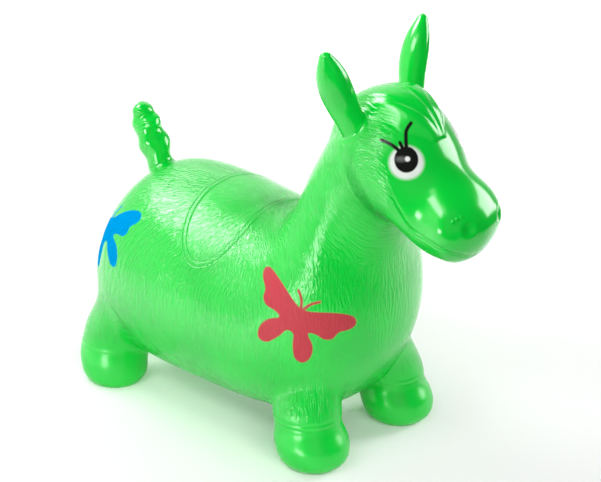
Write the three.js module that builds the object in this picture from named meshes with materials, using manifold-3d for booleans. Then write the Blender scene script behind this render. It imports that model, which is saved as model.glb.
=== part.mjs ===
// Bouncy horse hopper: a hollow soft-PVC horse, filled with air, that a child sits on and bounces.
// Millimetres. +X points to the nose, +Y to the horse's left, +Z up, hooves on z = 0.
// The skin is one moulding on the real toy. Here it is parted into the regions that keep their
// shape and the bands that bend between them, each open to the next so that the air space is one.

import * as THREE from 'three';
import { mergeVertices } from 'three/addons/utils/BufferGeometryUtils.js';
import Module from 'manifold-3d';

const wasm = await Module();
wasm.setup();

// Skin and seams
const WALL = 2.2;
const SEAM_GAP = 0.35;
const PORT_LIP = 7;

// Main sizes of the body
const BARREL_LENGTH = 386;
const BARREL_WIDTH = 244;
const BARREL_DEPTH = 232;
const BELLY_HEIGHT = 25;
const NECK_RISE = 154;
const HEAD_REACH = 119;
const HEAD_WIDTH = 132;

// Form of the body as rings from the rump to the nose. Each runs from a point on the back to one on
// the belly, both as [along, level], where along is 0 at the rump, 1 at the chest and 2 at the nose,
// and level is 0 at the belly, 1 at the seat and 2 at the crown. Breadth is its share of the width,
// and egg makes it narrower above than below.
const TRUNK_FORM = [
  { back: [0, 0.478], belly: [0, 0.478], breadth: 0, egg: 0 },
  { back: [0.023, 0.716], belly: [0.016, 0.246], breadth: 0.508, egg: 0 },
  { back: [0.104, 0.909], belly: [0.085, 0.065], breadth: 0.803, egg: 0 },
  { back: [0.241, 1], belly: [0.241, 0.004], breadth: 0.951, egg: 0.04 },
  { back: [0.409, 1], belly: [0.435, 0], breadth: 1, egg: 0.06 },
  { back: [0.549, 0.97], belly: [0.642, 0.009], breadth: 1, egg: 0.08 },
  { back: [0.642, 0.991], belly: [0.824, 0.082], breadth: 0.959, egg: 0.08 },
  { back: [0.699, 1.117], belly: [0.943, 0.28], breadth: 0.869, egg: 0.06 },
  { back: [0.735, 1.292], belly: [0.995, 0.53], breadth: 0.754, egg: 0.04 },
  { back: [0.764, 1.461], belly: [0.997, 0.763], breadth: 0.648, egg: 0 },
  { back: [0.796, 1.623], belly: [1, 0.945], breadth: 0.574, egg: 0 },
];
const HEAD_FORM = [
  { back: [0.835, 1.8], belly: [1.076, 1.105], breadth: 1, egg: 0 },
  { back: [0.893, 1.955], belly: [1.176, 1.175], breadth: 1.02, egg: 0 },
  { back: [0.985, 2.045], belly: [1.277, 1.165], breadth: 1.02, egg: 0.04 },
  { back: [1.21, 2], belly: [1.37, 1.12], breadth: 0.97, egg: 0.1 },
  { back: [1.42, 1.855], belly: [1.454, 1.065], breadth: 0.86, egg: 0.14 },
  { back: [1.56, 1.71], belly: [1.555, 1.02], breadth: 0.765, egg: 0.12 },
  { back: [1.695, 1.61], belly: [1.695, 1.005], breadth: 0.75, egg: 0.05 },
  { back: [1.866, 1.5], belly: [1.865, 1.06], breadth: 0.655, egg: 0 },
  { back: [2, 1.299], belly: [2, 1.299], breadth: 0, egg: 0 },
];

// Where the skin is parted, counted in rings from the rump
const BARREL_END = 5.8;
const NECK_START = 8.4;
const NECK_END = 9.6;
const NOSE = TRUNK_FORM.length + HEAD_FORM.length - 1;

// Mane: a low crest on the crown, from behind the ears down to the forelock
const MANE_START = 10.6;
const MANE_END = 15;
const MANE_HEIGHT = 10;
const MANE_HALF_ANGLE = 0.7;

// Legs: where the hoof stands, how wide it is and how far the leg leans by the time it ends inside
// the body. Rings are shares of the height, of the radius and of the lean in x and y.
const LEG_HEIGHT = 140;
const HOOF_HEIGHT = 28;
const SOLE = 4;
const FRONT_HOOF_ALONG = 0.865;
const FRONT_TRACK = 150;
const FRONT_HOOF_RADIUS = 40;
const FRONT_LEAN = [-24, -23];
const FRONT_LEG_FORM = [
  { level: 0, lean: [0, 0], stout: 0.75 },
  { level: 0.036, lean: [0, 0], stout: 0.888 },
  { level: 0.114, lean: [0, 0], stout: 1 },
  { level: 0.214, lean: [0, 0], stout: 0.988 },
  { level: 0.329, lean: [0.042, 0.043], stout: 0.925 },
  { level: 0.5, lean: [0.167, 0.174], stout: 0.925 },
  { level: 0.679, lean: [0.375, 0.391], stout: 1 },
  { level: 1, lean: [1, 1], stout: 1.1 },
];
const REAR_HOOF_ALONG = 0.052;
const REAR_TRACK = 122;
const REAR_HOOF_RADIUS = 38;
const REAR_LEAN = [48, -13];
const REAR_LEG_FORM = [
  { level: 0, lean: [0, 0], stout: 0.737 },
  { level: 0.036, lean: [0, 0], stout: 0.882 },
  { level: 0.114, lean: [0, 0], stout: 1 },
  { level: 0.214, lean: [0.021, 0], stout: 1 },
  { level: 0.329, lean: [0.063, -0.077], stout: 0.947 },
  { level: 0.5, lean: [0.229, -0.077], stout: 0.947 },
  { level: 0.679, lean: [0.479, 0.231], stout: 0.974 },
  { level: 1, lean: [1, 1], stout: 1.053 },
];

// Ears: seat on the head, then the way from the seat to the tip in shares of the length, and the
// broad and the thin radius in shares of half the breadth and of half the thickness
const EAR_STATION = 12.36;
const EAR_ANGLE = 0.72;
const EAR_ROOT = 12;
const EAR_LENGTH = 83;
const EAR_BREADTH = 35;
const EAR_THICKNESS = 28;
const EAR_FORM = [
  { out: [0.035, -0.093, -0.256], broad: 0.857, thin: 0.786 },
  { out: [0, 0, 0], broad: 0.971, thin: 0.857 },
  { out: [-0.047, 0.116, 0.279], broad: 1.03, thin: 1 },
  { out: [-0.093, 0.267, 0.605], broad: 0.914, thin: 0.857 },
  { out: [-0.116, 0.36, 0.849], broad: 0.543, thin: 0.536 },
  { out: [-0.128, 0.407, 1], broad: 0.057, thin: 0.071 },
];

// Tail: seat on the rump, then the way from the seat to the tip, and the radius of each swell
const TAIL_STATION = 2.06;
const TAIL_ROOT = 10;
const TAIL_LENGTH = 80;
const TAIL_WIDTH = 35;
const TAIL_FORM = [
  { out: [0.1, 0, -0.275], stout: 0.8 },
  { out: [0, 0, 0], stout: 0.857 },
  { out: [-0.075, 0, 0.188], stout: 0.869 },
  { out: [-0.15, 0, 0.375], stout: 1 },
  { out: [-0.238, 0, 0.525], stout: 0.914 },
  { out: [-0.313, 0, 0.675], stout: 0.96 },
  { out: [-0.375, 0, 0.825], stout: 0.657 },
  { out: [-0.4, 0, 0.913], stout: 0.6 },
  { out: [-0.413, 0, 1], stout: 0.057 },
];
const TIP_WALL = 6;

// Air valve under the belly
const VALVE_STATION = 4;
const VALVE_BORE_RADIUS = 4;
const VALVE_BOSS_RADIUS = 11;
const VALVE_BOSS_HEIGHT = 12;
const VALVE_PAD = 0.8;
const PLUG_CLEARANCE = 0.3;
const PLUG_FLANGE_RADIUS = 8;
const PLUG_FLANGE = 1.6;
const PLUG_STEM = 14;
const PLUG_LEAD = 1.2;

// Facets of the solids
const BODY_SIDES = 28;
const LIMB_SIDES = 16;
const ROUND_SIDES = 20;
const RINGS_PER_STATION = 1.5;
const LIMB_PITCH = 11;
const HOOF_PITCH = 6;
const POLE_STEP = 0.03;
const SMALL_STEP = 1e-3;

// Materials
const GREEN = new THREE.MeshStandardMaterial({ color: 0x35dc4c, roughness: 0.22, metalness: 0 });
const WHITE = new THREE.MeshStandardMaterial({ color: 0xf2f2ee, roughness: 0.4, metalness: 0 });

// Natural cubic spline through the points (knots[i], values[i]).
function spline(knots, values) {
  const last = knots.length - 1;
  const bend = new Array(last + 1).fill(0);
  const carry = new Array(last + 1).fill(0);
  for (let i = 1; i < last; i += 1) {
    const before = knots[i] - knots[i - 1];
    const after = knots[i + 1] - knots[i];
    const rise = (values[i + 1] - values[i]) / after - (values[i] - values[i - 1]) / before;
    const pivot = 2 * (before + after) - before * carry[i - 1];
    carry[i] = after / pivot;
    bend[i] = (6 * rise - before * bend[i - 1]) / pivot;
  }
  for (let i = last - 1; i > 0; i -= 1) bend[i] -= carry[i] * bend[i + 1];
  return (t) => {
    let i = 0;
    while (i < last - 1 && t > knots[i + 1]) i += 1;
    const step = knots[i + 1] - knots[i];
    const a = (knots[i + 1] - t) / step;
    const b = 1 - a;
    const curve = (a ** 3 - a) * bend[i] + (b ** 3 - b) * bend[i + 1];
    return a * values[i] + b * values[i + 1] + (curve * step ** 2) / 6;
  };
}

// Place of a point of the body's form, from the rump and the floor.
function formX(along) {
  return BARREL_LENGTH * Math.min(along, 1) + HEAD_REACH * Math.max(along - 1, 0);
}

function formZ(level) {
  return BELLY_HEIGHT + BARREL_DEPTH * Math.min(level, 1) + NECK_RISE * Math.max(level - 1, 0);
}

// Rings of a form in real sizes.
function sized(form, width) {
  const point = ([along, level]) => [formX(along), formZ(level)];
  return form.map(({ back, belly, breadth, egg }) => ({
    top: point(back),
    bottom: point(belly),
    half: (breadth * width) / 2,
    egg,
  }));
}

const BODY = [...sized(TRUNK_FORM, BARREL_WIDTH), ...sized(HEAD_FORM, HEAD_WIDTH)];

// Spline over the body's rings. It runs on past each pole with back and belly swapped (other), so
// that the rump and the nose close round and not to a point.
function alongBody(own, other) {
  const beyond = [1, 2, 3];
  const values = [
    ...beyond.toReversed().map((i) => other(BODY[i])),
    ...BODY.map(own),
    ...beyond.map((i) => other(BODY[NOSE - i])),
  ];
  return spline(values.map((_, i) => i - beyond.length), values);
}

const body = {
  topX: alongBody((ring) => ring.top[0], (ring) => ring.bottom[0]),
  topZ: alongBody((ring) => ring.top[1], (ring) => ring.bottom[1]),
  bottomX: alongBody((ring) => ring.bottom[0], (ring) => ring.top[0]),
  bottomZ: alongBody((ring) => ring.bottom[1], (ring) => ring.top[1]),
  half: alongBody((ring) => ring.half, (ring) => -ring.half),
  egg: alongBody((ring) => ring.egg, (ring) => -ring.egg),
};

// Height of the mane's crest: a rounded swell along the crown and across it.
function maneCrest(u, v) {
  const along = (u - MANE_START) / (MANE_END - MANE_START);
  const across = Math.atan2(Math.sin(v), Math.cos(v)) / MANE_HALF_ANGLE;
  if (along <= 0 || along >= 1 || Math.abs(across) >= 1) return 0;
  return MANE_HEIGHT * Math.sqrt(Math.sin(Math.PI * along)) * Math.cos((Math.PI / 2) * across) ** 2;
}

// Point on the smooth body at ring u and angle v round the ring, where v = 0 is the back.
function bodyPoint(u, v) {
  const up = Math.cos(v);
  const x = (body.topX(u) * (1 + up) + body.bottomX(u) * (1 - up)) / 2;
  const z = (body.topZ(u) * (1 + up) + body.bottomZ(u) * (1 - up)) / 2;
  return new THREE.Vector3(x, body.half(u) * Math.sin(v) * (1 - body.egg(u) * up), z);
}

// Outward normal of a skin, from two small steps along it.
function normal(point, u, v) {
  const along = point(u + SMALL_STEP, v).sub(point(u - SMALL_STEP, v));
  const round = point(u, v + SMALL_STEP).sub(point(u, v - SMALL_STEP));
  return along.cross(round).normalize();
}

// Body skin moved out along its normal, or in where grow is negative.
function bodySkin(grow) {
  return (u, v) => {
    const out = normal(bodyPoint, u, v);
    return bodyPoint(u, v).addScaledVector(out, grow + maneCrest(u, v));
  };
}

// Ring of points at u, spread evenly round the skin.
function ring(skin, u, sides) {
  return Array.from({ length: sides }, (_, i) => skin(u, (2 * Math.PI * i) / sides));
}

// Places from one end of a stretch to the other, about a pitch apart.
function stops(from, to, pitch) {
  const count = Math.max(1, Math.round((to - from) / pitch));
  return Array.from({ length: count + 1 }, (_, i) => from + ((to - from) * i) / count);
}

// Rings of a limb from one end of a stretch to the other.
function limbRings(skin, from, to, pitch = LIMB_PITCH) {
  return stops(from, to, pitch).map((t) => ring(skin, t, LIMB_SIDES));
}

// The one point in which a ring closes.
function middle(points) {
  const sum = points.reduce((total, point) => total.add(point), new THREE.Vector3());
  return [sum.divideScalar(points.length)];
}

// Closed surface through a row of rings. A ring of one point closes an end, and a looped row joins
// its last ring to its first.
function stitch(row, looped) {
  const geometry = new THREE.BufferGeometry();
  geometry.setFromPoints(row.flat());
  const starts = [];
  row.reduce((start, points) => {
    starts.push(start);
    return start + points.length;
  }, 0);
  const index = [];
  const pairs = looped ? row.length : row.length - 1;
  for (let k = 0; k < pairs; k += 1) {
    const next = (k + 1) % row.length;
    const sides = Math.max(row[k].length, row[next].length);
    for (let i = 0; i < sides; i += 1) {
      const j = (i + 1) % sides;
      const [a, b] = [i, j].map((p) => starts[k] + (p % row[k].length));
      const [c, d] = [i, j].map((p) => starts[next] + (p % row[next].length));
      if (a !== b) index.push(a, b, d);
      if (c !== d) index.push(a, d, c);
    }
  }
  geometry.setIndex(index);
  return facingOut(geometry);
}

// Turns every triangle over if the surface encloses a negative volume.
function facingOut(geometry) {
  const index = geometry.index.array;
  const at = (i) => new THREE.Vector3().fromBufferAttribute(geometry.attributes.position, index[i]);
  let volume = 0;
  for (let i = 0; i < index.length; i += 3) volume += at(i).dot(at(i + 1).cross(at(i + 2)));
  if (volume < 0) geometry.setIndex(Array.from(index).toReversed());
  return geometry;
}

// Solid for cutting and joining, and the way back to a geometry.
function toSolid(geometry) {
  const bare = geometry.clone();
  bare.deleteAttribute('normal');
  bare.deleteAttribute('uv');
  const merged = mergeVertices(bare);
  const vertProperties = new Float32Array(merged.attributes.position.array);
  const triVerts = new Uint32Array(merged.index.array);
  return new wasm.Manifold(new wasm.Mesh({ numProp: 3, vertProperties, triVerts }));
}

function toGeometry(solid) {
  const { vertProperties, triVerts } = solid.getMesh();
  const geometry = new THREE.BufferGeometry();
  geometry.setAttribute('position', new THREE.BufferAttribute(vertProperties, 3));
  geometry.setIndex(new THREE.BufferAttribute(triVerts, 1));
  geometry.computeVertexNormals();
  return geometry;
}

// Solid turned round an upright axis through a seat, from a profile of [radius, height] points.
function turned(profile, seat) {
  const points = profile.map(([radius, height]) => new THREE.Vector2(radius, height));
  const geometry = new THREE.LatheGeometry(points, ROUND_SIDES);
  geometry.rotateX(Math.PI / 2);
  geometry.translate(seat.x, seat.y, seat.z);
  return toSolid(facingOut(geometry));
}

// Body regions
const BODY_PITCH = 1 / RINGS_PER_STATION;

// Step along the rings that opens a seam of the named gap where the rings lie closest.
function seamStep(u) {
  const spread = (v) => bodyPoint(u + SMALL_STEP, v).distanceTo(bodyPoint(u, v)) / SMALL_STEP;
  return SEAM_GAP / Math.min(spread(0), spread(Math.PI / 2), spread(Math.PI));
}

// Stretches of the body from the rump to the nose, each with its rings
const STRETCHES = {
  barrel_shell: [POLE_STEP, BARREL_END],
  chest_shell: [BARREL_END + seamStep(BARREL_END), NECK_START],
  neck_band: [NECK_START + seamStep(NECK_START), NECK_END],
  head_shell: [NECK_END + seamStep(NECK_END), NOSE - POLE_STEP],
};

function bodyRings(stretch, grow) {
  return stops(...STRETCHES[stretch], BODY_PITCH).map((u) => ring(bodySkin(grow), u, BODY_SIDES));
}

// Wall of one stretch of the body. The rump and the nose are closed.
function bodyWall(stretch) {
  const outer = bodyRings(stretch, 0);
  const inner = bodyRings(stretch, -WALL).toReversed();
  const rump = stretch === 'barrel_shell' ? [middle(inner.at(-1)), middle(outer[0])] : [];
  const nose = stretch === 'head_shell' ? [middle(outer.at(-1)), middle(inner[0])] : [];
  return toSolid(stitch([...outer, ...nose, ...inner, ...rump], true));
}

// The whole body as one filled solid with room for a seam, which trims the limbs.
function bodyTrim() {
  const row = Object.keys(STRETCHES).flatMap((stretch) => bodyRings(stretch, SEAM_GAP));
  return toSolid(stitch([middle(row[0]), ...row, middle(row.at(-1))], false));
}

// Limbs

// Radius left inside a wall, which thins towards a pointed tip.
function lumen(radius, wall) {
  return Math.hypot(radius, wall) - wall;
}

// Front and rear legs in real sizes
const LEGS = {
  front: {
    hoof: [formX(FRONT_HOOF_ALONG), FRONT_TRACK / 2],
    radius: FRONT_HOOF_RADIUS,
    lean: FRONT_LEAN,
    form: FRONT_LEG_FORM,
  },
  rear: {
    hoof: [formX(REAR_HOOF_ALONG), REAR_TRACK / 2],
    radius: REAR_HOOF_RADIUS,
    lean: REAR_LEAN,
    form: REAR_LEG_FORM,
  },
};

// Skin of a leg, with its rings level, set in by a wall.
function legSkin({ hoof, radius, lean, form }, side, wall) {
  const heights = form.map(({ level }) => LEG_HEIGHT * level);
  const centre = (axis) => form.map((ring) => hoof[axis] + lean[axis] * ring.lean[axis]);
  const [x, y] = [0, 1].map((axis) => spline(heights, centre(axis)));
  const r = spline(heights, form.map(({ stout }) => radius * stout));
  return (z, v) => {
    const reach = lumen(r(z), wall);
    return new THREE.Vector3(x(z) + reach * Math.cos(v), side * (y(z) + reach * Math.sin(v)), z);
  };
}

// Path of an ear or the tail, measured along its length from its seat.
function limbPath(form, length, seat, side) {
  const way = ([x, y, z]) => new THREE.Vector3(x, side * y, z).multiplyScalar(length);
  const points = form.map(({ out }) => way(out).add(seat));
  const lengths = points.map((point, i) => (i === 0 ? 0 : point.distanceTo(points[i - 1])));
  const sunk = lengths[1];
  let total = -sunk;
  const knots = lengths.map((length) => (total += length));
  const [x, y, z] = ['x', 'y', 'z'].map((axis) => spline(knots, points.map((point) => point[axis])));
  return { knots, at: (t) => new THREE.Vector3(x(t), y(t), z(t)) };
}

// Skin of an ear or the tail: oval rings square to the path, broad along the given direction.
function limbSkin(path, broadRadii, thinRadii, direction, wall) {
  const broad = spline(path.knots, broadRadii);
  const thin = spline(path.knots, thinRadii);
  return (t, v) => {
    const along = path.at(t + SMALL_STEP).sub(path.at(t - SMALL_STEP)).normalize();
    const wide = direction.clone().addScaledVector(along, -direction.dot(along)).normalize();
    const narrow = along.clone().cross(wide);
    const point = path.at(t).addScaledVector(wide, lumen(broad(t), wall) * Math.cos(v));
    return point.addScaledVector(narrow, lumen(thin(t), wall) * Math.sin(v));
  };
}

// Tube wall between two places along a limb, open at both ends.
function sleeve(outer, inner, from, to) {
  const out = limbRings(outer, from, to);
  const back = limbRings(inner, from, to).toReversed();
  return toSolid(stitch([...out, ...back], true));
}

// Filled solid between two places along a limb.
function core(skin, from, to) {
  const row = limbRings(skin, from, to);
  return toSolid(stitch([middle(row[0]), ...row, middle(row.at(-1))], false));
}

// Cup of a hoof: flat sole below, open above.
function hoof(outer, inner) {
  const out = limbRings(outer, 0, HOOF_HEIGHT, HOOF_PITCH);
  const back = limbRings(inner, SOLE, HOOF_HEIGHT, HOOF_PITCH).toReversed();
  return toSolid(stitch([middle(out[0]), ...out, ...back, middle(back.at(-1))], false));
}

// Closed finger of a limb, open at its root end.
function finger(outer, inner, from, to) {
  const out = limbRings(outer, from, to);
  const back = limbRings(inner, from, to - TIP_WALL).toReversed();
  return toSolid(stitch([...out, middle(out.at(-1)), middle(back[0]), ...back], true));
}

// Assembly
const trim = bodyTrim();
const horse = new THREE.Group();
const ports = [];

function place(name, solid, material) {
  const mesh = new THREE.Mesh(toGeometry(solid), material);
  mesh.name = name;
  horse.add(mesh);
}

const SIDES = { left: 1, right: -1 };

for (const [end, leg] of Object.entries(LEGS)) {
  for (const [name, side] of Object.entries(SIDES)) {
    const outer = legSkin(leg, side, 0);
    const inner = legSkin(leg, side, WALL);
    place(`hoof_${end}_${name}`, hoof(outer, inner), GREEN);
    const tube = sleeve(outer, inner, HOOF_HEIGHT + SEAM_GAP, LEG_HEIGHT);
    place(`leg_sleeve_${end}_${name}`, tube.subtract(trim), GREEN);
    ports.push(core(legSkin(leg, side, WALL + PORT_LIP), HOOF_HEIGHT, LEG_HEIGHT));
  }
}

// Ear or tail on its seat: a root that bends, trimmed to the body, and the finger beyond it.
function placeFinger(name, path, radii, direction, root) {
  const start = path.knots[0];
  const tip = path.knots.at(-1);
  const skin = (wall) => limbSkin(path, radii.broad, radii.thin, direction, wall);
  place(`${name}_root`, sleeve(skin(0), skin(WALL), start, root).subtract(trim), GREEN);
  place(name, finger(skin(0), skin(WALL), root + SEAM_GAP, tip), GREEN);
  ports.push(core(skin(WALL + PORT_LIP), start, root));
}

const earRadii = {
  broad: EAR_FORM.map(({ broad }) => (EAR_BREADTH / 2) * broad),
  thin: EAR_FORM.map(({ thin }) => (EAR_THICKNESS / 2) * thin),
};
for (const [name, side] of Object.entries(SIDES)) {
  const seat = bodySkin(0)(EAR_STATION, side * EAR_ANGLE);
  const path = limbPath(EAR_FORM, EAR_LENGTH, seat, side);
  placeFinger(`ear_${name}`, path, earRadii, new THREE.Vector3(1, -side, 0), EAR_ROOT);
}

const tailRadii = TAIL_FORM.map(({ stout }) => (TAIL_WIDTH / 2) * stout);
const tailPath = limbPath(TAIL_FORM, TAIL_LENGTH, bodySkin(0)(TAIL_STATION, 0), SIDES.left);
const sideways = new THREE.Vector3(0, 1, 0);
placeFinger('tail', tailPath, { broad: tailRadii, thin: tailRadii }, sideways, TAIL_ROOT);

// Valve: a thick boss in the belly with a flat pad below, and the plug that is pushed up into it
const belly = bodySkin(0)(VALVE_STATION, Math.PI);
const bar = (radius, from, to) => turned([[0, from], [radius, from], [radius, to], [0, to]], belly);
const boss = bar(VALVE_BOSS_RADIUS, -VALVE_PAD, VALVE_BOSS_HEIGHT);
const boreReach = VALVE_PAD + VALVE_BOSS_HEIGHT;
const bore = bar(VALVE_BORE_RADIUS, -boreReach, 2 * boreReach);
const stemRadius = VALVE_BORE_RADIUS - PLUG_CLEARANCE;
const flangeTop = -VALVE_PAD - SEAM_GAP;
const plug = turned(
  [
    [0, flangeTop - PLUG_FLANGE],
    [PLUG_FLANGE_RADIUS, flangeTop - PLUG_FLANGE],
    [PLUG_FLANGE_RADIUS, flangeTop],
    [stemRadius, flangeTop],
    [stemRadius, flangeTop + PLUG_STEM - PLUG_LEAD],
    [stemRadius - PLUG_LEAD, flangeTop + PLUG_STEM],
    [0, flangeTop + PLUG_STEM],
  ],
  belly,
);
place('valve_plug', plug, WHITE);

// Body walls, opened into the limbs so that the air can pass
function ported(wall) {
  return ports.reduce((solid, port) => solid.subtract(port), wall);
}

const barrel = bodyWall('barrel_shell').add(boss).subtract(bore);
place('barrel_shell', ported(barrel), GREEN);
place('chest_shell', ported(bodyWall('chest_shell')), GREEN);
place('neck_band', bodyWall('neck_band'), GREEN);
place('head_shell', ported(bodyWall('head_shell')), GREEN);

// Origin on the floor, under the middle of the whole toy
const box = new THREE.Box3().setFromObject(horse);
const centre = box.getCenter(new THREE.Vector3());
horse.position.set(-centre.x, -centre.y, -box.min.z);

export default horse;
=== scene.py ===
"""Looks of the bouncy horse hopper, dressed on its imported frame.

The toy is one moulded skin of soft PVC, so the body is a loft of egg-shaped rings from the rump to
the nose, and the legs, ears and tail are tubes that run into it with a rounded root. Lengths are
millimetres until a mesh is made, and metres in the mesh.
"""

import logging
import math
from dataclasses import dataclass, field
from enum import Enum
from typing import Any, Callable

import bpy
import numpy as np
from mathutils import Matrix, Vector


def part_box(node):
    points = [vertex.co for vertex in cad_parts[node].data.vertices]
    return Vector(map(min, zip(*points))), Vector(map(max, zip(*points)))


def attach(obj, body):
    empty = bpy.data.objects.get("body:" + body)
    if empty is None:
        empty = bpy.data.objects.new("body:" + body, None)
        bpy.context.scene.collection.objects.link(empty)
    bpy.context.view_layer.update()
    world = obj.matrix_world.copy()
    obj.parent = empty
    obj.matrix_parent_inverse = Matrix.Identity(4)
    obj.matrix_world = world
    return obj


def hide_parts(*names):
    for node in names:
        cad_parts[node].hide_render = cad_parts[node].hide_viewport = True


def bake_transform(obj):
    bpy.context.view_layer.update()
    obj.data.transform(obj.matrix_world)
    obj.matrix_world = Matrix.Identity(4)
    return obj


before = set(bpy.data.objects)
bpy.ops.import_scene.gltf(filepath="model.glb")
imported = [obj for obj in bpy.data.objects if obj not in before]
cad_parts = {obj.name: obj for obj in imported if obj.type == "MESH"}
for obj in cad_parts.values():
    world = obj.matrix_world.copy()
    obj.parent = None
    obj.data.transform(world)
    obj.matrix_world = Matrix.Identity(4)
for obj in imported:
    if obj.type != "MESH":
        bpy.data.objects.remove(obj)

log = logging.getLogger("horse")

Array = np.ndarray
Surface = Callable[[Array, Array], Array]
MM = 0.001
# Step of a numerical slope, in a surface's own parameters
STEP = 1e-3
# Distance in millimetres that stands for nowhere near a mark
FAR = 60.0
# Corners of a short drawn line
LINE_CORNERS = 24
# Setting of a node that maps a range on a smooth step
SMOOTHSTEP = {"interpolation_type": "SMOOTHSTEP"}
# Range that nearly all of a noise lies in
NOISE_RANGE = (0.3, 0.7)

# Body rings: back along and level, belly along and level, breadth, egg. Along is 0 at the rump,
# 1 at the chest and 2 at the nose, level is 0 at the belly, 1 at the seat and 2 at the crown.
TRUNK_FORM = (
    (0, 0.478, 0, 0.478, 0, 0),
    (0.023, 0.716, 0.016, 0.246, 0.508, 0),
    (0.104, 0.909, 0.085, 0.065, 0.803, 0),
    (0.241, 1, 0.241, 0.004, 0.951, 0.04),
    (0.409, 1, 0.435, 0, 1, 0.06),
    (0.549, 0.97, 0.642, 0.009, 1, 0.08),
    (0.642, 0.991, 0.824, 0.082, 0.959, 0.08),
    (0.699, 1.117, 0.943, 0.28, 0.869, 0.06),
    (0.735, 1.292, 0.995, 0.53, 0.754, 0.04),
    (0.764, 1.461, 0.997, 0.763, 0.648, 0),
    (0.796, 1.623, 1, 0.945, 0.574, 0),
)
HEAD_FORM = (
    (0.835, 1.8, 1.076, 1.105, 1, 0),
    (0.893, 1.955, 1.176, 1.175, 1.02, 0),
    (0.985, 2.045, 1.277, 1.165, 1.02, 0.04),
    (1.21, 2, 1.37, 1.12, 0.97, 0.1),
    (1.42, 1.855, 1.454, 1.065, 0.86, 0.14),
    (1.56, 1.71, 1.555, 1.02, 0.765, 0.12),
    (1.695, 1.61, 1.695, 1.005, 0.75, 0.05),
    (1.866, 1.5, 1.865, 1.06, 0.655, 0),
    (2, 1.299, 2, 1.299, 0, 0),
)
# Leg rings: level, lean in x, lean in y, stoutness, as shares of the leg's sizes
FRONT_LEG_FORM = (
    (0, -0.05, 0.1, 0.69),
    (0.036, -0.03, 0.1, 0.85),
    (0.114, 0.02, 0.1, 0.99),
    (0.214, 0.16, 0.12, 1.01),
    (0.329, 0.35, 0.15, 0.915),
    (0.414, 0.46, 0.2, 0.935),
    (0.5, 0.56, 0.32, 0.935),
    (0.679, 0.73, 0.75, 0.92),
    (1, 1.05, 1.3, 1.0),
)
REAR_LEG_FORM = (
    (0, 0.17, -0.55, 0.77),
    (0.036, 0.15, -0.5, 0.9),
    (0.114, 0.1, -0.4, 1.0),
    (0.214, 0.05, -0.28, 1.015),
    (0.329, 0.03, -0.18, 0.95),
    (0.5, 0.18, -0.1, 0.947),
    (0.679, 0.45, 0.2, 0.974),
    (1, 1, 1, 1.053),
)
# Ear and tail rings: the way out in x, y and z, then the broad and the thin radius, as shares
EAR_FORM = (
    (0.035, -0.04, -0.256, 0.74, 0.76),
    (0, 0.055, 0, 0.84, 0.88),
    (-0.07, 0.16, 0.279, 0.97, 1.07),
    (-0.112, 0.287, 0.605, 0.965, 1.05),
    (-0.118, 0.38, 0.849, 0.61, 0.67),
    (-0.123, 0.414, 0.94, 0.39, 0.43),
    (-0.126, 0.427, 0.976, 0.25, 0.28),
    (-0.128, 0.436, 1, 0.03, 0.03),
)
TAIL_FORM = (
    (0.1, 0, -0.275, 0.8, 0.8),
    (0, 0, 0, 0.857, 0.857),
    (-0.075, 0, 0.188, 0.869, 0.869),
    (-0.15, 0, 0.375, 1, 1),
    (-0.238, 0, 0.525, 0.914, 0.914),
    (-0.313, 0, 0.675, 0.96, 0.96),
    (-0.375, 0, 0.825, 0.657, 0.657),
    (-0.4, 0, 0.913, 0.6, 0.6),
    (-0.413, 0, 1, 0.057, 0.057),
)


class Side(Enum):
    """The horse's own left and right, with the sign of y."""

    LEFT = 1
    RIGHT = -1


class End(Enum):
    """The front and the rear pair of legs."""

    FRONT = "front"
    REAR = "rear"


class Gives(Enum):
    """What a lamp gives the toy, light on the skin and a mirror image in it."""

    BOTH = (True, True)
    LIGHT = (True, False)
    SHINE = (False, True)


def smooth(low: float | Array, high: float | Array, value: Array) -> Array:
    """Give the smooth step from 0 at low to 1 at high."""
    t = np.clip((value - low) / (high - low), 0, 1)
    return t * t * (3 - 2 * t)


def bell(distance: Array, width: float) -> Array:
    """Give a bell that is 1 at distance 0 and dies off over the width."""
    return np.exp(-((distance / width) ** 2))


def unit(vectors: Array) -> Array:
    """Scale vectors to length 1."""
    return vectors / np.maximum(np.linalg.norm(vectors, axis=-1, keepdims=True), 1e-12)


def dot(a: Array, b: Array) -> Array:
    """Multiply two arrays of vectors into an array of numbers with a last axis of 1."""
    return np.sum(a * b, axis=-1, keepdims=True)


def ring_angles(count: int) -> Array:
    """Give evenly spaced angles round a ring, from behind its start to just before it."""
    return np.linspace(-np.pi, np.pi, count, endpoint=False)


class Spline:
    """Natural cubic spline through rows of values."""

    def __init__(self, knots: Array, values: Array) -> None:
        """Solve the second derivatives, which are 0 at both ends.

        Args:
            knots: rising parameter of each row.
            values: rows that the spline passes through.
        """
        self.knots = np.asarray(knots, float)
        self.values = np.asarray(values, float)
        count = len(self.knots)
        step = np.diff(self.knots)
        inner = np.arange(1, count - 1)
        matrix = np.eye(count)
        matrix[inner, inner - 1] = step[:-1]
        matrix[inner, inner] = 2 * (step[:-1] + step[1:])
        matrix[inner, inner + 1] = step[1:]
        right = np.zeros(self.values.shape)
        right[1:-1] = 6 * np.diff((np.diff(self.values, axis=0).T / step).T, axis=0)
        self.bend = np.linalg.solve(matrix, right)

    def __call__(self, t: Array) -> Array:
        """Evaluate the spline.

        Args:
            t: parameters of any shape.

        Returns:
            The values, with the row's axis last.
        """
        t = np.asarray(t, float)
        i = np.clip(np.searchsorted(self.knots, t) - 1, 0, len(self.knots) - 2)
        step = (self.knots[i + 1] - self.knots[i])[..., None]
        a = (self.knots[i + 1] - t)[..., None] / step
        b = 1 - a
        cubic = (a**3 - a) * self.bend[i] + (b**3 - b) * self.bend[i + 1]
        return a * self.values[i] + b * self.values[i + 1] + cubic * step**2 / 6


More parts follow.
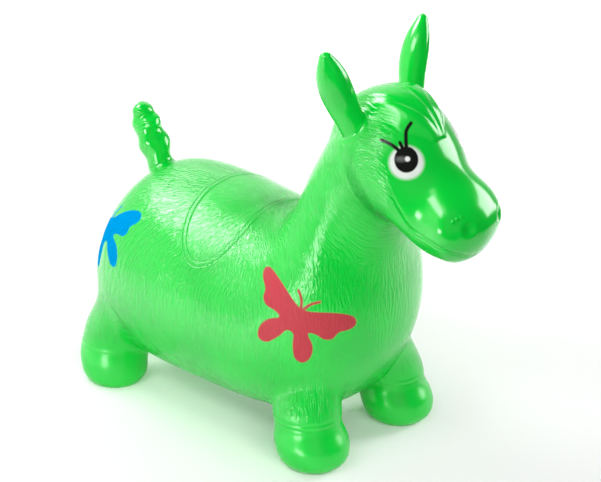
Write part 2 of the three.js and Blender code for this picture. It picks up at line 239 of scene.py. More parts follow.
def outline_distance(points: Array, outline: Array, closed: bool = True) -> Array:
    """Measure how far points lie from a drawn line: the distance to the nearest of its chords.

    Args:
        points: points in the plane or in space, with the axis of the coordinates last.
        outline: corners of the line.
        closed: whether the last corner joins the first, which makes the distance negative inside.

    Returns:
        Distances, one for each point.
    """
    flat = points.reshape(-1, points.shape[-1])
    start = outline if closed else outline[:-1]
    chord = (np.roll(outline, -1, axis=0) - outline)[: len(start)]
    away = flat[:, None, :] - start
    share = np.clip((away * chord).sum(-1) / np.maximum((chord * chord).sum(-1), 1e-9), 0, 1)
    far = np.linalg.norm(away - share[..., None] * chord, axis=-1).min(axis=1)
    if closed:
        above = away[..., 1] < 0
        crosses = above != (away[..., 1] - chord[:, 1] < 0)
        rise = np.where(chord[:, 1] == 0, 1, chord[:, 1])
        left = away[..., 0] < away[..., 1] * chord[:, 0] / rise
        far = np.where((crosses & left).sum(axis=1) % 2 == 1, -far, far)
    return far.reshape(points.shape[:-1])


def drawn(points: tuple[tuple[float, ...], ...], count: int, closed: bool = False) -> Array:
    """Draw a smooth line through a few points, as a spline over their chord lengths.

    Args:
        points: points that the line passes through.
        count: number of corners of the drawn line.
        closed: whether the line returns to its first point.

    Returns:
        Corners of the line.
    """
    rows = np.array(points, float)
    if closed:
        rows = np.vstack([rows[-3:], rows, rows[:4]])
    knots = np.r_[0, np.cumsum(np.linalg.norm(np.diff(rows, axis=0), axis=1))]
    ends = (knots[3], knots[-4]) if closed else (knots[0], knots[-1])
    return Spline(knots, rows)(np.linspace(*ends, count, endpoint=not closed))


def make_mesh(
    name: str,
    grid: Array,
    poles: tuple[Array, Array],
    marks: dict[str, Array] | None = None,
    sharp_rows: tuple[int, ...] = (),
) -> bpy.types.Object:
    """Turn rings of points into a closed mesh with a pole at each end.

    Args:
        name: name of the piece.
        grid: points in millimetres, rings by columns by 3, each ring closing on itself.
        poles: the single point that closes the first and the last ring.
        marks: numbers or vectors of each grid point, kept as attributes of the mesh.
        sharp_rows: rings whose edge stays sharp when the rest is shaded smooth.

    Returns:
        The new object, at the origin.
    """
    rings, columns = grid.shape[:2]
    first, last = rings * columns, rings * columns + 1
    points = np.vstack([grid.reshape(-1, 3), poles[0], poles[1]]) * MM
    index = np.arange(first).reshape(rings, columns)
    after = np.roll(index, -1, axis=1)
    quads = np.stack([index[:-1], index[1:], after[1:], after[:-1]], -1).reshape(-1, 4)
    near = np.stack([np.full(columns, first), index[0], after[0]], -1)
    far = np.stack([np.full(columns, last), after[-1], index[-1]], -1)
    a, b, c, d = points[quads].transpose(1, 0, 2)
    volume = np.sum(a * (np.cross(b, c) + np.cross(c, d)))
    if volume < 0:  # the faces look inwards
        quads, near, far = quads[:, ::-1], near[:, ::-1], far[:, ::-1]
    corners = np.concatenate([quads.ravel(), near.ravel(), far.ravel()]).astype(np.int32)
    sizes = np.r_[np.full(len(quads), 4), np.full(2 * columns, 3)].astype(np.int32)
    mesh = bpy.data.meshes.new(name)
    mesh.vertices.add(len(points))
    mesh.vertices.foreach_set("co", points.astype(np.float32).ravel())
    mesh.loops.add(len(corners))
    mesh.loops.foreach_set("vertex_index", corners)
    mesh.polygons.add(len(sizes))
    mesh.polygons.foreach_set("loop_start", (np.cumsum(sizes) - sizes).astype(np.int32))
    mesh.polygons.foreach_set("use_smooth", np.ones(len(sizes), bool))
    mesh.update(calc_edges=True)
    for mark, values in (marks or {}).items():
        vector = values.ndim == 3
        rows = values.reshape(-1, 3) if vector else values.reshape(-1, 1)
        rows = np.vstack([rows, values[0].mean(axis=0), values[-1].mean(axis=0)])
        layer = mesh.attributes.new(mark, "FLOAT_VECTOR" if vector else "FLOAT", "POINT")
        layer.data.foreach_set("vector" if vector else "value", rows.astype(np.float32).ravel())
    if sharp_rows:
        edges = np.empty(len(mesh.edges) * 2, np.int32)
        mesh.edges.foreach_get("vertices", edges)
        ring = np.where(edges < first, edges // columns, -1).reshape(-1, 2)
        sharp = np.isin(ring, sharp_rows).all(axis=1) & (ring[:, 0] == ring[:, 1])
        mesh.attributes.new("sharp_edge", "BOOLEAN", "EDGE").data.foreach_set("value", sharp)
    mesh.validate()
    piece = bpy.data.objects.new(name, mesh)
    bpy.context.collection.objects.link(piece)
    return piece


def linear(code: str) -> tuple[float, float, float, float]:
    """Turn an sRGB hex colour into linear red, green, blue and alpha."""
    parts = [int(code[i : i + 2], 16) / 255 for i in (1, 3, 5)]
    return (*[c / 12.92 if c <= 0.04045 else ((c + 0.055) / 1.055) ** 2.4 for c in parts], 1.0)


def add(
    tree: bpy.types.NodeTree,
    kind: str,
    settings: dict[str, Any] | None = None,
    links: dict[str | int, Any] | None = None,
) -> bpy.types.Node:
    """Add a node with its settings and links.

    Args:
        tree: node tree that takes the node.
        kind: type of the node.
        settings: values of the node's own properties.
        links: input name or number to an output socket, or to a plain value.

    Returns:
        The new node.
    """
    node = tree.nodes.new(kind)
    for key, value in (settings or {}).items():
        setattr(node, key, value)
    for key, value in (links or {}).items():
        if isinstance(value, bpy.types.NodeSocket):
            tree.links.new(value, node.inputs[key])
        else:
            node.inputs[key].default_value = value
    return node


@dataclass(frozen=True)
class Paint:
    """A sprayed colour: where the named distance is below 0, with an edge as soft as the spray's.

    The gloss is its roughness, and the mirror the strength of its reflections.
    """

    mark: str
    colour: str
    edge: float
    cover: float = 1.0
    gloss: float = 0.2
    mirror: float = 0.5


@dataclass(frozen=True)
class SoftPvc:
    """Soft PVC, rotationally moulded: a glossy even green that the mould's embossed coat breaks up.

    The eye gets clear reflections on the smooth face, ears, tail and hooves, and on the coat a
    broken sheen with light and dark strokes, each about 2 mm wide and 16 mm long. That is coarser
    than hair, as on the toy, so that it shows in the picture. The green varies a little in clouds.
    """

    name: str
    colour: str = "#00D23A"
    gloss: float = 0.14
    coat_gloss: float = 0.15
    mirror: float = 0.5
    ior: float = 1.62
    cloud_size: float = 60.0
    cloud_shade: float = 0.06
    stroke_width: float = 2.1
    stroke_length: float = 16.0
    stroke_height: float = 0.5
    stroke_edge: tuple[float, float] = (0.34, 0.66)
    seam_gap: float = 3.0
    seam_width: float = 1.0
    seam_depth: float = 0.5
    wave_height: float = 8.0
    wave_length: float = 28.0
    furred: bool = True
    paints: tuple[Paint, ...] = ()

    def strokes(self, tree: bpy.types.NodeTree, mark: str, wave: Any) -> Any:
        """Draw the embossed strokes along one direction of the coat.

        Args:
            tree: node tree of the material.
            mark: vector attribute whose last part runs along the strokes, in millimetres.
            wave: socket of the vector that makes the strokes wavy.

        Returns:
            Socket of the height of the strokes, about 0 to 1.
        """
        way = add(tree, "ShaderNodeAttribute", {"attribute_name": mark})
        bent = add(tree, "ShaderNodeVectorMath", {"operation": "ADD"}, {
            0: way.outputs["Vector"], 1: wave})
        fine = 1 / self.stroke_width
        scaled = add(tree, "ShaderNodeVectorMath", {"operation": "MULTIPLY"}, {
            0: bent.outputs[0], 1: (fine, fine, 1 / self.stroke_length)})
        noise = add(tree, "ShaderNodeTexNoise", {"noise_dimensions": "3D"}, {
            "Vector": scaled.outputs[0], "Scale": 1.0, "Detail": 2.0, "Roughness": 0.55})
        return noise.outputs["Fac"]

    def make(self) -> bpy.types.Material:
        """Build the node material.

        Returns:
            The material.
        """
        material = bpy.data.materials.new(self.name)
        material.use_nodes = True
        tree = material.node_tree
        tree.nodes.clear()
        place = add(tree, "ShaderNodeTexCoord").outputs["Object"]
        cloud = add(tree, "ShaderNodeTexNoise", None, {
            "Vector": place, "Scale": 1 / (self.cloud_size * MM), "Detail": 1.0})
        shade = add(tree, "ShaderNodeMapRange", None, {
            "Value": cloud.outputs["Fac"], "From Min": NOISE_RANGE[0], "From Max": NOISE_RANGE[1],
            "To Min": 1 - self.cloud_shade, "To Max": 1 + self.cloud_shade})
        tint = add(tree, "ShaderNodeVectorMath", {"operation": "SCALE"}, {
            0: linear(self.colour)[:3], "Scale": shade.outputs["Result"]})
        colour: Any = tint.outputs["Vector"]
        rough: Any = self.gloss
        mirror: Any = self.mirror
        inputs: dict[str, Any] = {"IOR": self.ior}
        if self.furred:
            inputs["Normal"], rough = self.emboss(tree, place)
        for paint in self.paints:
            where = add(tree, "ShaderNodeAttribute", {"attribute_name": paint.mark})
            share = add(tree, "ShaderNodeMapRange", SMOOTHSTEP, {
                "Value": where.outputs["Fac"], "From Min": -paint.edge, "From Max": paint.edge,
                "To Min": paint.cover, "To Max": 0.0}).outputs["Result"]
            mixed = add(tree, "ShaderNodeMix", {"data_type": "RGBA"}, {
                0: share, 6: colour, 7: linear(paint.colour)})
            dulled = add(tree, "ShaderNodeMix", {"data_type": "FLOAT"}, {
                0: share, 2: rough, 3: paint.gloss})
            faded = add(tree, "ShaderNodeMix", {"data_type": "FLOAT"}, {
                0: share, 2: mirror, 3: paint.mirror})
            colour, rough, mirror = mixed.outputs[2], dulled.outputs[0], faded.outputs[0]
        inputs |= {"Base Color": colour, "Roughness": rough, "Specular IOR Level": mirror}
        shader = add(tree, "ShaderNodeBsdfPrincipled", None, inputs)
        add(tree, "ShaderNodeOutputMaterial", None, {"Surface": shader.outputs["BSDF"]})
        return material

    def emboss(self, tree: bpy.types.NodeTree, place: Any) -> tuple[Any, Any]:
        """Raise the coat's strokes, cut the saddle's two fine lines and dull the skin on the coat.

        Args:
            tree: node tree of the material.
            place: socket of the Object coordinates.

        Returns:
            Sockets of the normal and of the roughness.
        """
        deep = add(tree, "ShaderNodeAttribute", {"attribute_name": "coat_depth"})
        turn = add(tree, "ShaderNodeAttribute", {"attribute_name": "coat_mix"})
        swirl = add(tree, "ShaderNodeTexNoise", None, {
            "Vector": place, "Scale": 1 / (self.wave_length * MM), "Detail": 1.0})
        centred = add(tree, "ShaderNodeVectorMath", {"operation": "SUBTRACT"}, {
            0: swirl.outputs["Color"], 1: (0.5, 0.5, 0.5)})
        wave = add(tree, "ShaderNodeVectorMath", {"operation": "SCALE"}, {
            0: centred.outputs[0], "Scale": self.wave_height})
        down = self.strokes(tree, "coat_down", wave.outputs["Vector"])
        turned = self.strokes(tree, "coat_round", wave.outputs["Vector"])
        height = add(tree, "ShaderNodeMix", {"data_type": "FLOAT"}, {
            0: turn.outputs["Fac"], 2: down, 3: turned})
        ridge = add(tree, "ShaderNodeMapRange", SMOOTHSTEP, {
            "Value": height.outputs[0],
            "From Min": self.stroke_edge[0], "From Max": self.stroke_edge[1]})
        lifted = add(tree, "ShaderNodeMath", {"operation": "MULTIPLY"}, {
            0: ridge.outputs["Result"], 1: deep.outputs["Fac"]})
        fur = add(tree, "ShaderNodeBump", None, {
            "Height": lifted.outputs[0], "Distance": self.stroke_height * MM, "Strength": 1.0})
        seam = add(tree, "ShaderNodeAttribute", {"attribute_name": "saddle"})
        side = add(tree, "ShaderNodeMath", {"operation": "ABSOLUTE"}, {0: seam.outputs["Fac"]})
        off = add(tree, "ShaderNodeMath", {"operation": "SUBTRACT"}, {
            0: side.outputs[0], 1: self.seam_gap})
        away = add(tree, "ShaderNodeMath", {"operation": "ABSOLUTE"}, {0: off.outputs[0]})
        line = add(tree, "ShaderNodeMapRange", SMOOTHSTEP, {
            "Value": away.outputs[0], "From Min": 0.0, "From Max": self.seam_width})
        bump = add(tree, "ShaderNodeBump", None, {
            "Height": line.outputs["Result"], "Distance": self.seam_depth * MM,
            "Normal": fur.outputs["Normal"]})
        rough = add(tree, "ShaderNodeMapRange", None, {
            "Value": deep.outputs["Fac"], "To Min": self.gloss, "To Max": self.coat_gloss})
        return bump.outputs["Normal"], rough.outputs["Result"]


@dataclass(frozen=True)
class Polyethylene:
    """Moulded white polyethylene of the air plug: waxy, slightly milky, with faint flow marks.

    The eye gets a soft broad highlight that is a little uneven.
    """

    name: str = "moulded_polyethylene"
    colour: str = "#F1F0EA"
    gloss: float = 0.38
    gloss_range: float = 0.06
    ior: float = 1.51
    flow_size: float = 2.5
    flow_height: float = 0.05

    def make(self) -> bpy.types.Material:
        """Build the node material.

        Returns:
            The material.
        """
        material = bpy.data.materials.new(self.name)
        material.use_nodes = True
        tree = material.node_tree
        shader = tree.nodes["Principled BSDF"]
        shader.inputs["Base Color"].default_value = linear(self.colour)
        shader.inputs["IOR"].default_value = self.ior
        place = add(tree, "ShaderNodeTexCoord")
        noise = add(tree, "ShaderNodeTexNoise", None, {
            "Vector": place.outputs["Object"], "Scale": 1 / (self.flow_size * MM), "Detail": 2.0})
        rough = add(tree, "ShaderNodeMapRange", None, {
            "Value": noise.outputs["Fac"],
            "To Min": self.gloss - self.gloss_range, "To Max": self.gloss + self.gloss_range})
        tree.links.new(rough.outputs["Result"], shader.inputs["Roughness"])
        bump = add(tree, "ShaderNodeBump", None, {
            "Height": noise.outputs["Fac"], "Distance": self.flow_height * MM})
        tree.links.new(bump.outputs["Normal"], shader.inputs["Normal"])
        return material


@dataclass
class Butterfly:
    """A plain butterfly, sprayed through a stencil: two pairs of wings and two feelers.

    The half figure is drawn across and up from its middle. The paint falls within the reach, and
    only where the skin faces the stencil by more than the slant, a cosine.
    """

    centre: tuple[float, float, float]
    facing: tuple[float, float, float]
    turn: float
    size: float = 1.0
    half: tuple[tuple[float, float], ...] = (
        (1.5, 9), (12, 12), (28, 18), (44, 21), (55, 18), (58, 11), (53, 4), (46, -1),
        (44, -9), (36, -13), (26, -11), (18, -13), (24, -20), (31, -31), (32, -42),
        (27, -50), (19, -49), (12, -40), (7, -29), (3, -21),
    )
    feeler: tuple[tuple[float, float], ...] = ((1.5, 9), (5, 17), (13, 25))
    feeler_width: float = 1.5
    reach: float = 75.0
    slant: float = 0.1
    corners: int = 160

    def opposite(self, shift: float, facing: tuple[float, float, float]) -> "Butterfly":
        """Give the same print on the other side.

        Args:
            shift: how far it is sprayed further forwards.
            facing: way that the skin faces there.

        Returns:
            The other print.
        """
        x, y, z = self.centre
        return Butterfly((x + shift, -y, z), facing, math.pi - self.turn, self.size)

    def distance(self, points: Array, normals: Array) -> Array:
        """Measure the distance to the stencil's edge, on the plane that the print faces.

        The outline is a closed spline through the half figure and its mirror image, and each
        feeler is a thin band about a line.

        Args:
            points: skin points in millimetres.
            normals: outward directions of the skin there.

        Returns:
            Distances in millimetres, negative inside, and large where the skin faces away.
        """
        facing = unit(np.array(self.facing))
        across = unit(np.cross((0, 0, 1), facing))
        upward = np.cross(facing, across)
        away = (points - np.array(self.centre)) / self.size
        flat = np.stack([away @ across, away @ upward], -1)
        c, s = math.cos(self.turn), math.sin(self.turn)
        flat = flat @ np.array([[s, c], [-c, s]])
        flat[..., 0] = np.abs(flat[..., 0])
        near = (np.abs(flat).max(axis=-1) < self.reach) & (normals @ facing > self.slant)
        mirrored = [(-x, y) for x, y in reversed(self.half)]
        wings = drawn((*self.half, *mirrored), self.corners, closed=True)
        feeler = drawn(self.feeler, LINE_CORNERS)
        far = np.full(points.shape[:-1], FAR)
        inside = outline_distance(flat[near], wings)
        thin = outline_distance(flat[near], feeler, closed=False) - self.feeler_width
        far[near] = np.minimum(inside, thin) * self.size
        return far


def print_distance(prints: tuple[Butterfly, ...], points: Array, normals: Array) -> Array:
    """Measure the distance from skin points to the nearest of some prints."""
    return np.min([figure.distance(points, normals) for figure in prints], axis=0)


@dataclass
class Eye:
    """The sprayed eye: a white oval, a black pupil with lashes, and a glint."""

    centre: tuple[float, float, float] = (188.0, -42.8, 370.8)
    across: tuple[float, float, float] = (0.755, 0.656, 0.0)
    upward: tuple[float, float, float] = (-0.267, 0.307, 0.914)
    white_centre: tuple[float, float] = (0.2, -2.6)
    white_size: tuple[float, float] = (17.9, 17.2)
    pupil_centre: tuple[float, float] = (0.0, 0.4)
    pupil_size: tuple[float, float] = (12.3, 13.4)
    glint_centre: tuple[float, float] = (1.2, 1.0)
    glint_size: float = 2.7
    lashes: tuple[tuple[tuple[float, float], ...], ...] = (
        ((-8, 10), (-16.8, 16.6), (-25.4, 20.4)),
        ((-4, 12.5), (-6.4, 17.8)),
        ((0, 13), (-0.3, 24), (0.3, 30.5), (3.6, 35.5)),
    )
    lash_width: float = 2.0
    lash_taper: float = 0.12
    shine_centre: tuple[float, float] = (-5.5, 0.8)
    shine_size: tuple[float, float] = (5.5, 2.6)

    def distances(self, points: Array, normals: Array) -> dict[str, Array]:
        """Measure the distances to the eye's colours in the plane that the eye faces.

        Each oval is a circle stretched to its two sizes, and each lash is a band about a line that
        thins towards its tip.

        Args:
            points: skin points in millimetres, turned over where the eye is the left one.
            normals: outward directions of the skin there.

        Returns:
            Distances in millimetres by the colour's name, negative inside.
        """
        away = points - np.array(self.centre)
        flat = np.stack([away @ np.array(self.across), away @ np.array(self.upward)], -1)
        facing = np.cross(self.across, self.upward)
        near = (np.abs(flat).max(axis=-1) < FAR) & (normals @ facing > 0)
        spot = flat[near]

        def oval(centre: tuple[float, float], size: tuple[float, float]) -> Array:
            """Give the distance from an oval's edge, in its smaller size."""
            return (np.linalg.norm((spot - centre) / np.array(size), axis=-1) - 1) * min(size)

        black = oval(self.pupil_centre, self.pupil_size)
        for lash in self.lashes:
            line = drawn(lash, LINE_CORNERS) if len(lash) > 2 else np.array(lash, float)
            reach = np.linalg.norm(spot - line[0], axis=-1) / np.linalg.norm(line[-1] - line[0])
            width = self.lash_width * (1 - self.lash_taper * np.clip(reach, 0, 1))
            black = np.minimum(black, outline_distance(spot, line, closed=False) - width)
        found = {
            "eye_white": oval(self.white_centre, self.white_size),
            "eye_black": black,
            "eye_shine": oval(self.shine_centre, self.shine_size),
            "eye_glint": oval(self.glint_centre, (self.glint_size, self.glint_size)),
        }
        marks = {name: np.full(points.shape[:-1], FAR) for name in found}
        for name, values in found.items():
            marks[name][near] = values
        return marks


@dataclass(frozen=True)
class Mane:
    """The moulded mane: a crest along the crown that narrows to the forelock, parted into locks.

    Stations are counted in the body's rings, angles are radians round them, and shares run from 0
    at the mane's start to 1 at the forelock's tip. Each lock has its place across, the shares where
    it starts and ends, and its depth.
    """

    start: float = 10.6
    end: float = 15.25
    height: float = 10.0
    half_angle: float = 0.7
    edge: float = 0.95
    forelock_edge: float = 0.4
    forelock_start: float = 0.75
    flat: float = 0.45
    lock_spread: float = 0.62
    forelock_spread: float = 0.06
    lock_gather: tuple[float, float] = (0.55, 1.05)
    lock_width: float = 0.04
    lock_wave: float = 0.05
    lock_fade: tuple[float, float] = (0.12, 0.14)
    lump_height: float = 0.7
    lump_start: tuple[float, float] = (0.1, 0.3)
    lump_end: tuple[float, float] = (0.95, 0.7)
    lump_side: tuple[float, float] = (0.75, 0.5)
    locks: tuple[tuple[float, float, float, float], ...] = (
        (-0.95, 0.1, 0.55, 0.9),
        (-0.5, 0.28, 0.98, 1.3),
        (-0.12, 0.05, 0.5, 0.9),
        (0.12, 0.45, 1.0, 1.5),
        (0.45, 0.12, 0.8, 1.1),
        (0.9, 0.3, 0.95, 1.2),
    )

    def along(self, u: Array) -> Array:
        """Give the share of the way along the mane."""
        return np.clip((u - self.start) / (self.end - self.start), 0, 1)

    def crest(self, u: Array, v: Array) -> Array:
        """Give the height of the crest: the root of a sine along the crown, flat on top across it.

        Args:
            u: ring numbers.
            v: angles from the back.

        Returns:
            Heights in millimetres.
        """
        along = self.along(u)
        across = np.clip(np.abs(np.arctan2(np.sin(v), np.cos(v))) / self.half_angle, 0, 1)
        narrowing = smooth(self.forelock_start, 1, along)
        edge = self.edge + (self.forelock_edge - self.edge) * narrowing
        level = 1 - smooth(self.flat * edge, edge, across)
        return self.height * np.sqrt(np.sin(np.pi * along)) * level

    def parting(self, u: Array, v: Array) -> Array:
        """Part the crest into locks: wavy grooves that gather at the forelock, and shallow lumps.

        The lumps are two waves multiplied, with uneven counts along and across so none repeats.

        Args:
            u: ring numbers.
            v: angles from the back.

        Returns:
            Heights in millimetres, negative in the grooves.
        """
        along = self.along(u)
        spread = self.lock_spread * (1 - smooth(*self.lock_gather, along)) + self.forelock_spread
        relief = np.zeros(u.shape)
        for share, start, stop, deep in self.locks:
            line = share * spread + self.lock_wave * np.sin(7 * along + 9 * share)
            begun = smooth(start, start + self.lock_fade[0], along)
            ended = smooth(stop, stop - self.lock_fade[1], along)
            relief -= deep * begun * ended * bell(v - line, self.lock_width)
        lumps = np.sin(17 * along + 4 * v) * np.sin(6 * v - 5 * along)
        lumps *= smooth(*self.lump_start, along) * smooth(*self.lump_end, along)
        return relief + self.lump_height * lumps * smooth(*self.lump_side, np.abs(v))


@dataclass(frozen=True)
class Saddle:
    """The saddle on the back: an outline over x and the way down from the back, with a welt."""

    half: tuple[tuple[float, float], ...] = (
        (-100, 12), (-99, 40), (-95, 67), (-88, 89), (-79, 105), (-69, 114), (-57, 117),
        (-46, 112), (-36, 102), (-29, 87), (-25, 66), (-25, 42), (-26, 12),
    )
    corners: int = 120
    along: tuple[float, float] = (-140.0, 20.0)
    down: float = 150.0
    welt_height: float = 0.7
    welt_width: float = 2.2
    pad_height: float = 0.3
    pad_edge: tuple[float, float] = (-1.0, -6.0)

    def distance(self, points: Array, arc: Array) -> Array:
        """Measure the distance to the saddle's outline, a closed spline through both halves.

        Args:
            points: skin points in millimetres.
            arc: way down to them from the back, along the skin.

        Returns:
            Distances in millimetres, negative on the saddle.
        """
        mirrored = [(x, -s) for x, s in reversed(self.half)]
        outline = drawn((*self.half, *mirrored), self.corners, closed=True)
        x = points[..., 0]
        near = (x > self.along[0]) & (x < self.along[1]) & (np.abs(arc) < self.down)
        far = np.full(x.shape, FAR)
        far[near] = outline_distance(np.stack([x, arc], -1)[near], outline)
        return far

    def relief(self, far: Array) -> Array:
        """Raise a welt on the outline and pad the seat inside it."""
        welt = self.welt_height * bell(far, self.welt_width)
        return welt + self.pad_height * smooth(*self.pad_edge, far)


@dataclass(frozen=True)
class Face:
    """The moulded relief of the face: the mouth with its lip, the nostrils and the ticks by them.

    The places are those of one side, with y outwards. The left nostril and ticks sit further out by
    the left shift, so that they don't stand out on the nose's outline.
    """

    start: float = 150.0
    left_shift: float = 6.0
    left_start: tuple[float, float] = (8.0, 22.0)
    mouth: tuple[tuple[float, float, float], ...] = (
        (185.7, 61.2, 334.3), (193.1, 58.1, 321.4), (200, 54.3, 308), (211.5, 49.4, 296.9),
        (230.1, 48.7, 291.6), (242.9, 42.2, 286.1), (249.6, 20.8, 276.1), (247.1, 0, 268.2),
    )
    mouth_corners: int = 60
    mouth_depth: float = 1.5
    mouth_width: float = 1.2
    lip_first_corner: int = 16
    lip_drop: tuple[float, float, float] = (-1.2, -1.0, -3.4)
    lip_depth: float = 1.2
    lip_width: float = 1.1
    nostril: tuple[float, float, float] = (256.4, 24.0, 307.2)
    hole_radius: float = 10.0
    hole_floor: float = 1.0
    hole_depth: float = 2.5
    rim_radius: float = 10.5
    rim_width: float = 3.2
    rim_height: float = 0.5
    ticks: tuple[tuple[float, float, float], ...] = (
        (245.5, 37.6, 316.9), (247.2, 33.3, 319.3), (248.9, 29.0, 320.6))
    tick_half: tuple[float, float, float] = (-0.8, 0.8, -3.2)
    tick_width: float = 1.0
    tick_height: float = 1.8

    def relief(self, points: Array) -> Array:
        """Cut the mouth as two close lines, press the nostrils in and raise the ticks.

        Each cut, rim and tick is a bell over the distance to its line.

        Args:
            points: skin points in millimetres.

        Returns:
            Heights in millimetres, negative where the skin is cut.
        """
        face = points[..., 0] > self.start
        spot = points[face]
        shift = self.left_shift * smooth(*self.left_start, spot[:, 1])
        spot[:, 1] = np.abs(spot[:, 1]) - shift
        mouth = drawn(self.mouth, self.mouth_corners)
        lip = mouth[self.lip_first_corner :] + self.lip_drop
        cuts = ((mouth, self.mouth_depth, self.mouth_width), (lip, self.lip_depth, self.lip_width))
        hole = np.linalg.norm(spot - self.nostril, axis=-1)
        relief = self.rim_height * bell(hole - self.rim_radius, self.rim_width)
        relief -= self.hole_depth * smooth(self.hole_radius, self.hole_floor, hole)
        for line, depth, width in cuts:
            relief -= depth * bell(outline_distance(spot, line, closed=False), width)
        for tick in self.ticks:
            ends = np.array(tick) + np.outer((1, -1), self.tick_half)
            away = outline_distance(spot, ends, closed=False)
            relief += self.tick_height * bell(away, self.tick_width)
        full = np.zeros(points.shape[:-1])
        full[face] = relief
        return full


@dataclass(frozen=True)
class Coat:
    """How the embossed coat is combed and where it is worn thin or missing.

    It runs from a middle behind the withers outwards and down on the trunk, round the rings on the
    neck, and whirls at the poll. Stations are counted in the body's rings, angles are radians from
    the back, and levels are cosines of that angle. Each tuft past the face's edge has its reach in
    rings, its angle and its width: the temple, then the cheek.
    """

    middle_x: float = -30.0
    trunk_radius: float = 130.0
    ring_length: float = 26.0
    neck_radius: float = 62.0
    whirl_middle: tuple[float, float] = (12.3, 0.6)
    whirl: tuple[float, float] = (11.8, 13.0)
    neck_start: tuple[float, float] = (8.3, 9.7)
    neck_lead: float = 0.9
    face_edge: tuple[float, float] = (12.4, 13.8)
    face_lead: float = 0.25
    tufts: tuple[tuple[float, float, float], ...] = ((0.8, 0.8, 0.4), (1.7, 1.75, 0.45))
    saddle_wear: float = 0.35
    saddle_edge: tuple[float, float] = (2.0, -8.0)
    chest_wear: float = 0.4
    chest_start: tuple[float, float] = (6.4, 7.6)
    chest_end: tuple[float, float] = (11.5, 10.0)
    chest_level: tuple[float, float] = (0.5, -0.2)

    def marks(self, u: Array, v: Array, points: Array, saddle: Array) -> dict[str, Array]:
        """Comb the coat over a skin.

        Args:
            u: ring numbers.
            v: angles round the rings.
            points: skin points in millimetres.
            saddle: distance to the saddle's outline.

        Returns:
            The two directions, how they are mixed and how deep the coat is, with the saddle.
        """
        up = np.cos(v)
        away = points[..., 0] - self.middle_x
        angle = np.arctan2(points[..., 1], away)
        reach = np.hypot(points[..., 1], away)
        down = np.stack([
            self.trunk_radius * np.cos(angle), self.trunk_radius * np.sin(angle),
            reach - points[..., 2]], -1)
        turn = np.pi / 2 * smooth(*self.whirl, u)
        ahead = self.ring_length * (u - self.whirl_middle[0])
        about = self.neck_radius * (np.abs(v) - self.whirl_middle[1])
        turned = np.stack([
            ahead * np.cos(turn) + about * np.sin(turn), 0 * u,
            about * np.cos(turn) - ahead * np.sin(turn)], -1)
        mix = smooth(*self.neck_start, u + self.neck_lead * up)
        tufts = sum(far * bell(np.abs(v) - at, width) for far, at, width in self.tufts)
        depth = 1 - smooth(*self.face_edge, u + self.face_lead * up - tufts)
        depth *= 1 - self.saddle_wear * smooth(*self.saddle_edge, saddle)
        chest = smooth(*self.chest_start, u) * smooth(*self.chest_end, u)
        depth *= 1 - self.chest_wear * chest * smooth(*self.chest_level, up)
        return {"coat_down": down, "coat_round": turned, "coat_mix": mix, "coat_depth": depth,
                "saddle": saddle}


